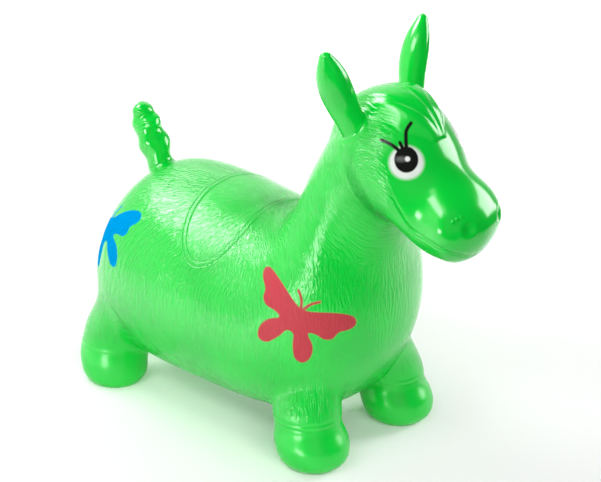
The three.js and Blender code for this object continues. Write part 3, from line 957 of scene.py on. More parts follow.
@dataclass
class Body:
    """The moulded body from the rump to the nose: a loft of egg-shaped rings with its relief.

    Lengths are millimetres, stations and spreads are counted in rings, and levels are cosines of
    the angle from the back.
    """

    rump_x: float
    barrel_length: float = 386
    barrel_width: float = 244
    barrel_depth: float = 232
    belly_height: float = 25
    neck_rise: float = 154
    head_reach: float = 119
    head_width: float = 132
    rump_lift: float = 8
    rump_middle: float = 2.2
    rump_spread: float = 1.05
    rump_start: tuple[float, float] = (0.0, 1.2)
    rump_level: tuple[float, float] = (-0.3, 0.9)
    flank_tuck: float = 3.5
    flank_middle: float = 3.7
    flank_spread: float = 1.6
    flank_level: float = -0.5
    flank_height: float = 0.3
    flank_way: tuple[float, float] = (-0.8, 0.6)
    valve_station: float = 4
    valve_boss_radius: float = 11
    valve_pad: float = 0.8
    valve_edge: float = 1.5
    pole_gap: float = 0.02
    mane: Mane = Mane()
    saddle: Saddle = Saddle()
    face: Face = Face()
    coat: Coat = Coat()
    rings: Spline = field(init=False)
    nose: int = field(init=False)

    def __post_init__(self) -> None:
        """Size the rings and spline them, with three mirrored rings past each pole."""
        form = np.array(TRUNK_FORM + HEAD_FORM, float)
        counts = (len(TRUNK_FORM), len(HEAD_FORM))
        width = np.repeat((self.barrel_width, self.head_width), counts)
        rows = np.stack([
            self.form_x(form[:, 0]), self.form_z(form[:, 1]), self.form_x(form[:, 2]),
            self.form_z(form[:, 3]), form[:, 4] * width / 2, form[:, 5]], -1)
        self.nose = len(rows) - 1
        swapped = rows[:, [2, 3, 0, 1, 4, 5]] * [1, 1, 1, 1, -1, -1]
        rows = np.vstack([swapped[3:0:-1], rows, swapped[-2:-5:-1]])
        self.rings = Spline(np.arange(-3, self.nose + 4), rows)

    def form_x(self, along: Array) -> Array:
        """Place a share along the body in x."""
        barrel, head = np.minimum(along, 1), np.maximum(along - 1, 0)
        return self.rump_x + self.barrel_length * barrel + self.head_reach * head

    def form_z(self, level: Array) -> Array:
        """Place a share of the height in z."""
        barrel, neck = np.minimum(level, 1), np.maximum(level - 1, 0)
        return self.belly_height + self.barrel_depth * barrel + self.neck_rise * neck

    def loft(self, u: Array, v: Array) -> Array:
        """Give the plain body: back and belly weighted by the cosine of v, half width by its sine.

        One bell along the body lifts the back over the rump, and another draws the flanks in and up
        where they turn under the belly.

        Args:
            u: ring number from the rump, 0, to the nose.
            v: angle from the back, 0, round the horse's left.

        Returns:
            Points in millimetres.
        """
        u, v = np.broadcast_arrays(np.asarray(u, float), np.asarray(v, float))
        ring = self.rings(u)
        up = np.cos(v)
        lift = self.rump_lift * bell(u - self.rump_middle, self.rump_spread)
        lift = lift * smooth(*self.rump_start, u) * smooth(*self.rump_level, up)
        tuck = self.flank_tuck * bell(u - self.flank_middle, self.flank_spread)
        tuck = tuck * bell(up - self.flank_level, self.flank_height)
        x = (ring[..., 0] * (1 + up) + ring[..., 2] * (1 - up)) / 2
        half = ring[..., 4] * (1 - ring[..., 5] * up) + self.flank_way[0] * tuck
        z = (ring[..., 1] * (1 + up) + ring[..., 3] * (1 - up)) / 2
        return np.stack([x, half * np.sin(v), z + lift + self.flank_way[1] * tuck], -1)

    def normal(self, u: Array, v: Array) -> Array:
        """Give the outward direction: the cross product of the two slopes of the plain body.

        Args:
            u: ring numbers.
            v: angles from the back.

        Returns:
            Vectors of length 1.
        """
        along = self.loft(u + STEP, v) - self.loft(u - STEP, v)
        around = self.loft(u, v + STEP) - self.loft(u, v - STEP)
        return unit(np.cross(along, around))

    def skin(self, u: Array, v: Array) -> Array:
        """Give the body with its mane, without the finer relief."""
        u, v = np.broadcast_arrays(np.asarray(u, float), np.asarray(v, float))
        return self.loft(u, v) + self.normal(u, v) * self.mane.crest(u, v)[..., None]

    def slopes(self, u: Array, v: Array) -> tuple[Array, Array]:
        """Give the two slopes of the skin, along the body and round it.

        Args:
            u: ring numbers.
            v: angles from the back.

        Returns:
            Millimetres for each ring, and for each radian.
        """
        along = (self.skin(u + STEP, v) - self.skin(u - STEP, v)) / (2 * STEP)
        around = (self.skin(u, v + STEP) - self.skin(u, v - STEP)) / (2 * STEP)
        return along, around

    def valve_relief(self, points: Array) -> Array:
        """Raise a flat round pad in the belly under the air plug."""
        middle = self.loft(np.array(float(self.valve_station)), np.array(np.pi))
        away = np.linalg.norm(points - middle, axis=-1)
        edge = self.valve_boss_radius
        return self.valve_pad * smooth(edge, edge - self.valve_edge, away)


@dataclass
class Skin:
    """One part of the body's skin between two rings, with the marks that its finish reads."""

    name: str
    body: Body
    start: float
    end: float
    rings: int
    columns: int
    prints: tuple[Butterfly, ...] = ()
    eyes: dict[Side, Eye] = field(default_factory=dict)
    closed_start: bool = False
    closed_end: bool = False

    def build(self) -> bpy.types.Object:
        """Carry the rings along the body, raise the relief and keep the marks.

        Returns:
            The skin's mesh object.
        """
        body = self.body
        u = np.linspace(self.start, self.end, self.rings)
        if self.closed_start:
            u[0] = body.pole_gap
        if self.closed_end:
            u[-1] = body.nose - body.pole_gap
        v = ring_angles(self.columns)
        u, v = np.meshgrid(u, v, indexing="ij")
        points, normals = body.loft(u, v), body.normal(u, v)
        chords = np.linalg.norm(np.diff(points, axis=1, append=points[:, :1]), axis=-1)
        arc = np.cumsum(chords, axis=1) - chords
        arc -= arc[:, self.columns // 2, None]
        saddle = body.saddle.distance(points, arc)
        relief = body.mane.crest(u, v) + body.mane.parting(u, v) + body.saddle.relief(saddle)
        relief += body.valve_relief(points) + body.face.relief(points)
        marks = body.coat.marks(u, v, points, saddle)
        if self.prints:
            marks["print"] = print_distance(self.prints, points, normals)
        for side, eye in self.eyes.items():
            fold = np.array([1, -side.value, 1])
            for name, far in eye.distances(points * fold, normals * fold).items():
                marks[name] = np.minimum(marks.get(name, far), far)
        grid = points + normals * relief[..., None]
        poles = (grid[0].mean(axis=0), grid[-1].mean(axis=0))
        ends = ((0, self.closed_start), (self.rings - 1, self.closed_end))
        sharp = tuple(row for row, closed in ends if not closed)
        return make_mesh(self.name, grid, poles, marks, sharp)


@dataclass
class Root:
    """How a limb runs into the body: along its own skin, then on a rounded fillet that lies down.

    The centre and the window are where on the body the crossing is looked for, in rings and
    radians. The limb's rings end a little under the body's skin.
    """

    body: Body
    radius: float
    centre: tuple[float, float]
    window: tuple[float, float] = (2.2, 1.0)
    way_samples: int = 48
    skin_samples: int = 64
    steps: int = 14
    longest_step: tuple[float, float, float] = (6.0, 0.2, 0.1)
    fillet_rings: int = 12
    corner_reach: tuple[float, float] = (0.2, 1.6)
    overlap: float = 2.5
    sink: float = 1.2

    def crossing(
        self, limb: Surface, angle: Array, span: tuple[float, float]
    ) -> tuple[Array, Array, Array]:
        """Find where each line of the limb enters the body: nearest samples, then Newton steps.

        Args:
            limb: limb surface of the distance along it and the angle round it.
            angle: angles of the lines.
            span: first and last distance along the limb.

        Returns:
            Distance along the limb, ring number and ring angle, one of each for every line.
        """
        body = self.body
        t = np.linspace(*span, self.way_samples)
        spread = np.linspace(-1, 1, self.skin_samples)
        u = spread * self.window[0] + self.centre[0]
        v = spread * self.window[1] + self.centre[1]
        u, v = (g.ravel() for g in np.meshgrid(u, v, indexing="ij"))
        lines = limb(*np.meshgrid(t, angle, indexing="ij")).reshape(-1, 3)
        near = body.skin(u, v)
        square = (lines**2).sum(1)[:, None] + (near**2).sum(1) - 2 * lines @ near.T
        square = square.reshape(len(t), len(angle), -1).transpose(1, 0, 2)
        best = square.reshape(len(angle), -1).argmin(axis=1)
        t, u, v = t[best // len(u)], u[best % len(u)], v[best % len(u)]
        limit = np.array(self.longest_step)
        for _ in range(self.steps):
            miss = body.skin(u, v) - limb(t, angle)
            lead = (limb(t + STEP, angle) - limb(t - STEP, angle)) / (2 * STEP)
            along, around = body.slopes(u, v)
            slopes = np.stack([lead, -along, -around], -1)
            step = np.linalg.solve(slopes, miss[..., None])[..., 0]
            t, u, v = np.stack([t, u, v]) + np.clip(step, -limit, limit).T
        return t, u, v

    def rings(
        self, limb: Surface, angle: Array, span: tuple[float, float], free_end: Array
    ) -> Array:
        """Lay out the limb's rings from its free end to inside the body.

        The fillet is a quadratic curve from the limb's skin to the body's skin. Its middle point is
        where the limb's line meets the body's tangent plane, so it has no crease at either end.

        Args:
            limb: limb surface of the distance along it and the angle round it.
            angle: angles of the lines.
            span: first distance inside the body and last one at the free end.
            free_end: shares from 1, the free end, falling to 0, the fillet's start.

        Returns:
            Points in millimetres, rings by lines.
        """
        body = self.body
        t, u, v = self.crossing(limb, angle, span)
        out = 1.0 if span[1] > span[0] else -1.0
        rest = t + out * self.radius
        begin = limb(rest, angle)
        inward = unit(limb(rest - out * STEP, angle) - limb(rest + out * STEP, angle))
        along, around = body.slopes(u, v)
        normal = unit(np.cross(along, around))
        away = body.skin(u, v) - limb(t, angle).mean(axis=0)
        away = unit(away - normal * dot(away, normal))
        joint = np.stack([u, v])
        lead = (np.linalg.pinv(np.stack([along, around], -1)) @ away[..., None])[..., 0].T
        landing = joint + lead * self.radius
        finish = body.skin(*landing)
        tilt = unit(np.cross(*body.slopes(*landing)))
        reach = dot(finish - begin, tilt) / dot(inward, tilt)
        shortest, longest = self.corner_reach
        corner = begin + inward * np.clip(reach, shortest * self.radius, longest * self.radius)
        k = np.linspace(0, 1, self.fillet_rings)[1:, None, None]
        fillet = (1 - k) ** 2 * begin + 2 * k * (1 - k) * corner + k**2 * finish
        sunk = body.skin(*(joint + lead * (self.radius + self.overlap))) - tilt * self.sink
        way = rest + (span[1] - rest) * free_end[:, None]
        shape = limb(way, np.broadcast_to(angle, way.shape))
        return np.concatenate([shape, fillet, sunk[None]])


@dataclass
class Leg:
    """One leg with its hoof: level rings that lean into the body, with a crease above the hoof.

    The crease is a sum of bells over the height above it, each with its share of the depth, its
    place and its width. It fades on the side that leans into the body.
    """

    end: End
    side: Side
    body: Body
    along: float
    track: float
    radius: float
    lean: tuple[float, float]
    form: tuple[tuple[float, ...], ...]
    crease_height: float
    crease_depth: float
    root_centre: tuple[float, float]
    prints: tuple[Butterfly, ...]
    root_radius: float = 20.0
    root_rise: float = 6.0
    height: float = 140.0
    crease: tuple[tuple[float, float, float], ...] = (
        (0.5, 2.6, 2.0), (-1.0, 0.0, 1.2), (-0.6, 5.4, 1.1))
    crease_fade: tuple[float, float] = (0.75, 0.15)
    coat_start: tuple[float, float] = (4.0, 22.0)
    coat_radius: float = 44.0
    sole_rings: tuple[float, ...] = (0.25, 0.5, 0.75, 0.93)
    lines: int = 120
    levels: int = 70

    @property
    def name(self) -> str:
        """Name the leg by its end and side."""
        return f"{self.end.value}_{self.side.name.lower()}"

    def surface(self, z: Array, angle: Array) -> Array:
        """Give the leg's skin: circles about a leaning middle line, with the crease cut round them.

        Args:
            z: heights above the floor in millimetres.
            angle: angles round the middle line.

        Returns:
            Points in millimetres.
        """
        form = np.array(self.form, float)
        rows = np.stack([
            self.body.form_x(np.array(self.along)) + self.lean[0] * form[:, 1],
            self.track / 2 + self.lean[1] * form[:, 2], self.radius * form[:, 3]], -1)
        x, y, radius = np.moveaxis(Spline(self.height * form[:, 0], rows)(z), -1, 0)
        level = z - self.crease_height
        crease = sum(share * bell(level - at, width) for share, at, width in self.crease)
        inner = np.cos(angle - math.atan2(self.lean[1], self.lean[0]))
        radius = radius + self.crease_depth * crease * smooth(*self.crease_fade, inner)
        outward = y + radius * np.sin(angle)
        return np.stack([x + radius * np.cos(angle), self.side.value * outward, z + 0 * angle], -1)

    def build(self) -> bpy.types.Object:
        """Build the leg from the middle of its sole to inside the body.

        Returns:
            The leg's mesh object.
        """
        station, turn = self.root_centre
        root = Root(self.body, self.root_radius, (station, self.side.value * turn))
        share = np.linspace(1, 0, self.levels)
        grid = root.rings(self.surface, ring_angles(self.lines), (self.height, 0.0), share)
        sole = grid[0] * [1, 1, 0]
        middle = sole.mean(axis=0)
        shares = np.array(self.sole_rings)[:, None, None]
        grid = np.concatenate([middle + (sole - middle) * shares, grid])
        inner = grid[-1].mean(axis=0) + [0, 0, self.root_rise]
        out = grid - grid.mean(axis=1, keepdims=True)
        angle = np.arctan2(out[..., 1], out[..., 0])
        down = np.stack([
            self.coat_radius * np.cos(angle), self.coat_radius * np.sin(angle), -grid[..., 2]], -1)
        depth = smooth(*self.coat_start, grid[..., 2] - self.crease_height)
        marks = {"coat_down": down, "coat_round": down, "coat_mix": 0 * depth, "coat_depth": depth,
                 "saddle": FAR + 0 * depth, "print": print_distance(self.prints, grid, unit(out))}
        return make_mesh(f"leg_{self.name}", grid, (middle, inner), marks)


@dataclass
class Finger:
    """A soft tube on the body, such as an ear or the tail: ovals square to a curved middle line.

    The hollow presses in the face that looks forwards, the twist winds two swells round the tube,
    each groove is a narrow ring, and a blunt tip is round over its own length.
    """

    name: str
    body: Body
    station: float
    angle: float
    side: int
    length: float
    broad: float
    thin: float
    form: tuple[tuple[float, ...], ...]
    broad_way: tuple[float, float, float]
    root_radius: float
    root_drop: float = 5.0
    window: tuple[float, float] = (1.2, 0.5)
    hollow: float = 0.0
    hollow_width: float = 0.55
    hollow_start: tuple[float, float] = (0.1, 0.3)
    hollow_end: tuple[float, float] = (1.0, 0.72)
    twist: float = 0.0
    twist_pitch: float = 11.0
    twist_start: tuple[float, float] = (0.05, 0.2)
    blunt: float = 0.0
    blunt_close: float = 0.995
    grooves: tuple[float, ...] = ()
    groove_depth: float = 0.7
    groove_width: float = 2.6
    least_radius: float = 4.0
    lines: int = 96
    levels: int = 110

    def path(self) -> tuple[Spline, Spline, float, float]:
        """Spline the middle line and the two radii over the way along it, which is 0 at the skin.

        Returns:
            Middle line, radii, and the first and last distance along the way.
        """
        seat = self.body.skin(np.array(self.station), np.array(self.side * self.angle))
        form = np.array(self.form, float)
        points = form[:, :3] * [1, self.side, 1] * self.length + seat
        radii = form[:, 3:] * [self.broad / 2, self.thin / 2]
        chords = np.linalg.norm(np.diff(points, axis=0), axis=1)
        knots = np.r_[0, np.cumsum(chords)] - chords[0]
        return Spline(knots, points), Spline(knots, radii), knots[0], knots[-1]

    def surface(self, t: Array, angle: Array) -> Array:
        """Give the tube's skin: ovals turned to the broad way, with hollow, twist and grooves.

        Args:
            t: distances along the middle line in millimetres.
            angle: angles round it from the broad way.

        Returns:
            Points in millimetres.
        """
        path, radii, _, last = self.path()
        ahead = unit(path(t + STEP) - path(t - STEP))
        wide = np.array(self.broad_way)
        wide = unit(wide - ahead * dot(ahead, wide))
        flat = np.cross(ahead, wide)
        sizes, share = radii(t), t / last
        front = angle - self.side * np.pi / 2
        dent = self.hollow * bell(np.arctan2(np.sin(front), np.cos(front)), self.hollow_width)
        dent = dent * smooth(*self.hollow_start, share) * smooth(*self.hollow_end, share)
        swell = self.twist * smooth(*self.twist_start, share)
        swell = swell * np.cos(2 * (angle - t / self.twist_pitch))
        for groove in self.grooves:
            swell = swell - self.groove_depth * bell(t - groove, self.groove_width)
        scale = 1 + swell / np.maximum(sizes[..., 0], self.least_radius)
        if self.blunt:
            end = np.clip((t - last + self.blunt) / self.blunt, 0, 1)
            arch = np.sqrt(1 - self.blunt_close * end**2)[..., None]
            rounded = radii(np.minimum(t, last - self.blunt)) * arch
            sizes = np.where((end > 0)[..., None], rounded, sizes)
        across = sizes[..., 0] * scale * np.cos(angle)
        through = (sizes[..., 1] * scale - dent) * np.sin(angle)
        return path(t) + wide * across[..., None] + flat * through[..., None]

    def build(self) -> bpy.types.Object:
        """Build the tube from its tip to inside the body.

        Returns:
            The tube's mesh object.
        """
        span = self.path()[2:]
        centre = (self.station, self.side * self.angle)
        root = Root(self.body, self.root_radius, centre, self.window)
        share = np.sqrt(np.linspace(1, 0, self.levels))
        grid = root.rings(self.surface, ring_angles(self.lines), span, share)
        inner = grid[-1].mean(axis=0) - [0, 0, self.root_drop]
        return make_mesh(self.name, grid, (grid[0].mean(axis=0), inner))


@dataclass
class AirPlug:
    """The push-in plug in the belly: a round head with a dimple, on a ribbed stem."""

    middle: tuple[float, float]
    bottom: float
    flange_radius: float = 8.0
    flange: float = 1.6
    stem_radius: float = 3.7
    stem: float = 14.0
    rib_depth: float = 0.3
    lead: float = 1.2
    lines: int = 64

    def build(self) -> bpy.types.Object:
        """Turn the plug's profile, radius over height, about its own axis.

        Returns:
            The plug's mesh object.
        """
        head, stem, top = self.flange_radius, self.stem_radius, self.flange + self.stem
        waist = stem - self.rib_depth
        profile = np.array([
            (1.2, 0.55), (2.4, 0.5), (3.0, 0.3), (3.4, 0.1), (4.0, 0.0), (head - 1.0, 0.0),
            (head - 0.4, 0.1), (head - 0.1, 0.4), (head, 0.8), (head - 0.1, 1.2), (head - 0.4, 1.5),
            (head - 0.9, self.flange), (stem + 0.4, self.flange), (stem, 2.0),
            (stem, 5.0), (waist, 5.3), (waist, 6.7), (stem, 7.0),
            (stem, 10.0), (waist, 10.3), (waist, 11.7), (stem, 12.0),
            (stem, top - self.lead), (stem - 0.8, top - 0.2), (1.5, top)])
        angle = ring_angles(self.lines)
        radius, height = profile[:, :1], profile[:, 1:]
        grid = np.stack([
            self.middle[0] + radius * np.cos(angle), self.middle[1] + radius * np.sin(angle),
            self.bottom + height + 0 * angle], -1)
        poles = [np.array([*self.middle, self.bottom + height[row, 0]]) for row in (0, -1)]
        return make_mesh("air_plug", grid, (poles[0], poles[1]))


@dataclass(frozen=True)
class FloorPaintAndGlow:
    """Matt white floor paint with a painted glow that is no lamp: it keeps a shadow and glows white
    further off.

    To the camera it glows white far from the toy and past its nose, as an evenly white backdrop,
    and a little by the toy. That is painted light that lifts the toy's shadow, so only a pale
    shadow by the toy is left. In mirror images it glows behind the toy's chest and at the toy's
    sides, a painted reflection in the toy's skin, and stays dark under the toy and before it.
    Lengths are metres from the toy's middle. Distances count x less than y, by the squeeze.
    """

    name: str = "matt_floor_with_painted_glow"
    colour: str = "#FBFCFB"
    gloss: float = 0.7
    mirror: float = 0.1
    squeeze: tuple[float, float, float] = (0.6, 1.0, 0.0)
    near_glow: float = 0.07
    camera_glow_reach: tuple[float, float] = (0.45, 1.5)
    past_nose: tuple[float, float] = (0.38, 0.62)
    mirror_glow: float = 0.9
    mirror_start: tuple[float, float] = (0.18, 0.42)
    behind: tuple[float, float] = (0.3, -0.1)
    side_slope: float = -0.55
    side_start: tuple[float, float] = (0.0, 0.35)
    side_end: tuple[float, float] = (1.0, 0.45)
    side_glow: float = 0.75

    def make(self) -> bpy.types.Material:
        """Build the node material.

        Returns:
            The material.
        """
        material = bpy.data.materials.new(self.name)
        material.use_nodes = True
        tree = material.node_tree
        shader = tree.nodes["Principled BSDF"]
        shader.inputs["Base Color"].default_value = linear(self.colour)
        shader.inputs["Roughness"].default_value = self.gloss
        shader.inputs["Specular IOR Level"].default_value = self.mirror
        shader.inputs["Emission Color"].default_value = (1, 1, 1, 1)
        path = add(tree, "ShaderNodeLightPath")
        place = add(tree, "ShaderNodeTexCoord").outputs["Object"]
        parts = add(tree, "ShaderNodeSeparateXYZ", None, {0: place})
        oval = add(tree, "ShaderNodeVectorMath", {"operation": "MULTIPLY"}, {
            0: place, 1: self.squeeze})
        reach = add(tree, "ShaderNodeVectorMath", {"operation": "LENGTH"}, {0: oval.outputs[0]})
        # Painted light: to the camera the floor glows a little by the toy, which lifts its shadow,
        # and fully further off as an evenly white backdrop.
        far = add(tree, "ShaderNodeMapRange", SMOOTHSTEP, {
            "Value": reach.outputs["Value"], "From Min": self.camera_glow_reach[0],
            "From Max": self.camera_glow_reach[1], "To Min": self.near_glow})
        ahead = add(tree, "ShaderNodeMapRange", SMOOTHSTEP, {
            "Value": parts.outputs["X"], "From Min": self.past_nose[0],
            "From Max": self.past_nose[1]})
        pale = add(tree, "ShaderNodeMath", {"operation": "MAXIMUM"}, {
            0: far.outputs["Result"], 1: ahead.outputs["Result"]})
        seen = add(tree, "ShaderNodeMath", {"operation": "MULTIPLY"}, {
            0: path.outputs["Is Camera Ray"], 1: pale.outputs[0]})
        # Painted reflection: only in mirror images does the floor glow, behind the toy and at its
        # sides, so the toy's skin shows it.
        clear = add(tree, "ShaderNodeMapRange", SMOOTHSTEP, {
            "Value": reach.outputs["Value"], "From Min": self.mirror_start[0],
            "From Max": self.mirror_start[1], "To Max": self.mirror_glow})
        behind = add(tree, "ShaderNodeMapRange", SMOOTHSTEP, {
            "Value": parts.outputs["X"], "From Min": self.behind[0], "From Max": self.behind[1]})
        aside = add(tree, "ShaderNodeMath", {"operation": "ABSOLUTE"}, {0: parts.outputs["Y"]})
        wedge = add(tree, "ShaderNodeMath", {"operation": "MULTIPLY_ADD"}, {
            0: parts.outputs["X"], 1: self.side_slope, 2: aside.outputs[0]})
        sides = add(tree, "ShaderNodeMapRange", SMOOTHSTEP, {
            "Value": wedge.outputs[0], "From Min": self.side_start[0],
            "From Max": self.side_start[1], "To Max": self.side_glow})
        near = add(tree, "ShaderNodeMapRange", SMOOTHSTEP, {
            "Value": reach.outputs["Value"], "From Min": self.side_end[0],
            "From Max": self.side_end[1]})
        close = add(tree, "ShaderNodeMath", {"operation": "MULTIPLY"}, {
            0: sides.outputs["Result"], 1: near.outputs["Result"]})
        lit = add(tree, "ShaderNodeMath", {"operation": "MAXIMUM"}, {
            0: behind.outputs["Result"], 1: close.outputs[0]})
        spread = add(tree, "ShaderNodeMath", {"operation": "MULTIPLY"}, {
            0: clear.outputs["Result"], 1: lit.outputs[0]})
        # The floor's emission: painted reflection for glossy rays, and painted light with the white
        # backdrop for the camera.
        glow = add(tree, "ShaderNodeMath", {"operation": "MULTIPLY_ADD"}, {
            0: path.outputs["Is Glossy Ray"], 1: spread.outputs[0], 2: seen.outputs[0]})
        tree.links.new(glow.outputs[0], shader.inputs["Emission Strength"])
        return material


@dataclass(frozen=True)
class SoftBox:
    """A softbox or scrim: the way to it from the toy, its distance, width, height and power."""

    name: str
    way: tuple[float, float, float]
    distance: float
    width: float
    height: float
    power: float
    gives: Gives = Gives.BOTH


@dataclass
class Studio:
    """Plain pale floor, soft light and the camera at the photograph's angle.

    The room glows on the toy's left up to a level, with one strength for light and one for shine,
    and is dim elsewhere. Its edges are parts of a way of length 1.
    """

    azimuth: float = 41.0
    elevation: float = 24.0
    distance: float = 2839.0
    target: tuple[float, float, float] = (8.5, 0.0, 214.0)
    lens: float = 155.74
    sensor: float = 36.0
    sight: float = 100.0
    floor_radius: float = 3000.0
    floor_rings: tuple[float, ...] = (0.02, 0.1, 0.3, 0.6, 1.0)
    floor_lines: int = 96
    floor_middle: tuple[float, float] = (-2300.0, -400.0)
    floor_thickness: float = 20.0
    floor_paint_and_glow: FloorPaintAndGlow = FloorPaintAndGlow()
    room_dim: float = 0.05
    room_light: float = 0.76
    room_shine: float = 1.3
    room_left: tuple[float, float] = (0.1, -0.35)
    room_top: tuple[float, float] = (0.97, 0.72)
    boxes: tuple[SoftBox, ...] = (
        SoftBox("softbox_left", (-0.575, -0.187, 0.796), 2000, 1100, 1000, 50, Gives.SHINE),
        SoftBox("softbox_front", (0.0, -0.73, 0.683), 2000, 950, 520, 12.5),
        SoftBox("strip_front", (0.241, -0.596, 0.766), 2000, 900, 450, 3, Gives.SHINE),
        SoftBox("softbox_low", (0.14, -0.99, 0.0), 2500, 880, 460, 17, Gives.SHINE),
        SoftBox("softbox_far", (0.476, 0.824, 0.309), 2000, 1150, 1000, 27, Gives.SHINE),
        SoftBox("scrim_top", (-0.57, -0.13, 0.81), 2000, 1250, 850, 21, Gives.LIGHT),
        SoftBox("scrim_far", (0.36, 0.89, 0.28), 2000, 800, 950, 20, Gives.LIGHT),
        SoftBox("scrim_right", (0.62, -0.52, 0.59), 2500, 2000, 1600, 20, Gives.LIGHT),
        SoftBox("scrim_low", (0.85, -0.5, 0.12), 2500, 1600, 1000, 13, Gives.LIGHT),
    )

    def floor(self) -> bpy.types.Object:
        """Lay the floor: a flat disc that reaches further behind the toy than in front of it.

        Returns:
            The floor's object.
        """
        angle = ring_angles(self.floor_lines)
        reach = self.floor_radius * np.array(self.floor_rings)[:, None]
        middle = np.array([*self.floor_middle, 0.0])
        drop = np.array([0, 0, self.floor_thickness])
        ways = [reach * np.cos(angle), reach * np.sin(angle), 0 * reach + 0 * angle]
        grid = np.stack(ways, -1) + middle
        grid = np.concatenate([grid, grid[-1:] - drop])
        floor = make_mesh("studio_floor", grid, (middle, middle - drop))
        floor.data.materials.append(self.floor_paint_and_glow.make())
        return floor

    def camera(self) -> bpy.types.Object:
        """Stand the camera at its angle, aimed at the target.

        Returns:
            The camera's object.
        """
        a, e = math.radians(self.azimuth), math.radians(self.elevation)
        back = Vector((math.sin(a) * math.cos(e), -math.cos(a) * math.cos(e), math.sin(e)))
        data = bpy.data.cameras.new("studio_camera")
        data.lens, data.sensor_width, data.clip_end = self.lens, self.sensor, self.sight
        camera = bpy.data.objects.new("studio_camera", data)
        camera.location = (Vector(self.target) + back * self.distance) * MM
        camera.rotation_euler = back.to_track_quat("Z", "Y").to_euler()
        bpy.context.collection.objects.link(camera)
        return camera

    def light(self) -> None:
        """Hang the softboxes and scrims, each aimed at the target and hidden from the camera."""
        for box in self.boxes:
            data = bpy.data.lights.new(box.name, "AREA")
            data.shape, data.energy = "RECTANGLE", box.power
            data.size, data.size_y = box.width * MM, box.height * MM
            lamp = bpy.data.objects.new(box.name, data)
            lamp.visible_diffuse, lamp.visible_glossy = box.gives.value
            lamp.visible_camera = False
            way = Vector(box.way).normalized()
            lamp.location = (Vector(self.target) + way * box.distance) * MM
            lamp.rotation_euler = way.to_track_quat("Z", "Y").to_euler()
            bpy.context.collection.objects.link(lamp)

    def room(self) -> bpy.types.World:
        """Light the room: white to the camera, bright on the left, dim above and on the right.

        Returns:
            The world.
        """
        world = bpy.data.worlds.new("studio_room")
        world.use_nodes = True
        tree = world.node_tree
        way = add(tree, "ShaderNodeTexCoord")
        parts = add(tree, "ShaderNodeSeparateXYZ", None, {0: way.outputs["Generated"]})
        left = add(tree, "ShaderNodeMapRange", SMOOTHSTEP, {
            "Value": parts.outputs["X"], "From Min": self.room_left[0],
            "From Max": self.room_left[1]})
        low = add(tree, "ShaderNodeMapRange", SMOOTHSTEP, {
            "Value": parts.outputs["Z"], "From Min": self.room_top[0],
            "From Max": self.room_top[1]})
        share = add(tree, "ShaderNodeMath", {"operation": "MULTIPLY"}, {
            0: left.outputs["Result"], 1: low.outputs["Result"]})
        path = add(tree, "ShaderNodeLightPath")
        bright = add(tree, "ShaderNodeMapRange", None, {
            "Value": path.outputs["Is Glossy Ray"], "To Min": self.room_light,
            "To Max": self.room_shine})
        level = add(tree, "ShaderNodeMapRange", None, {
            "Value": share.outputs[0], "To Min": self.room_dim, "To Max": bright.outputs["Result"]})
        strength = add(tree, "ShaderNodeMath", {"operation": "MAXIMUM"}, {
            0: level.outputs["Result"], 1: path.outputs["Is Camera Ray"]})
        back = tree.nodes["Background"]
        back.inputs["Color"].default_value = (1, 1, 1, 1)
        tree.links.new(strength.outputs[0], back.inputs["Strength"])
        return world

    def build(self) -> None:
        """Set up the floor, the lights and the camera."""
        self.floor()
        self.light()
        scene = bpy.context.scene
        scene.world = self.room()
        scene.camera = self.camera()
        scene.view_settings.view_transform = "Standard"


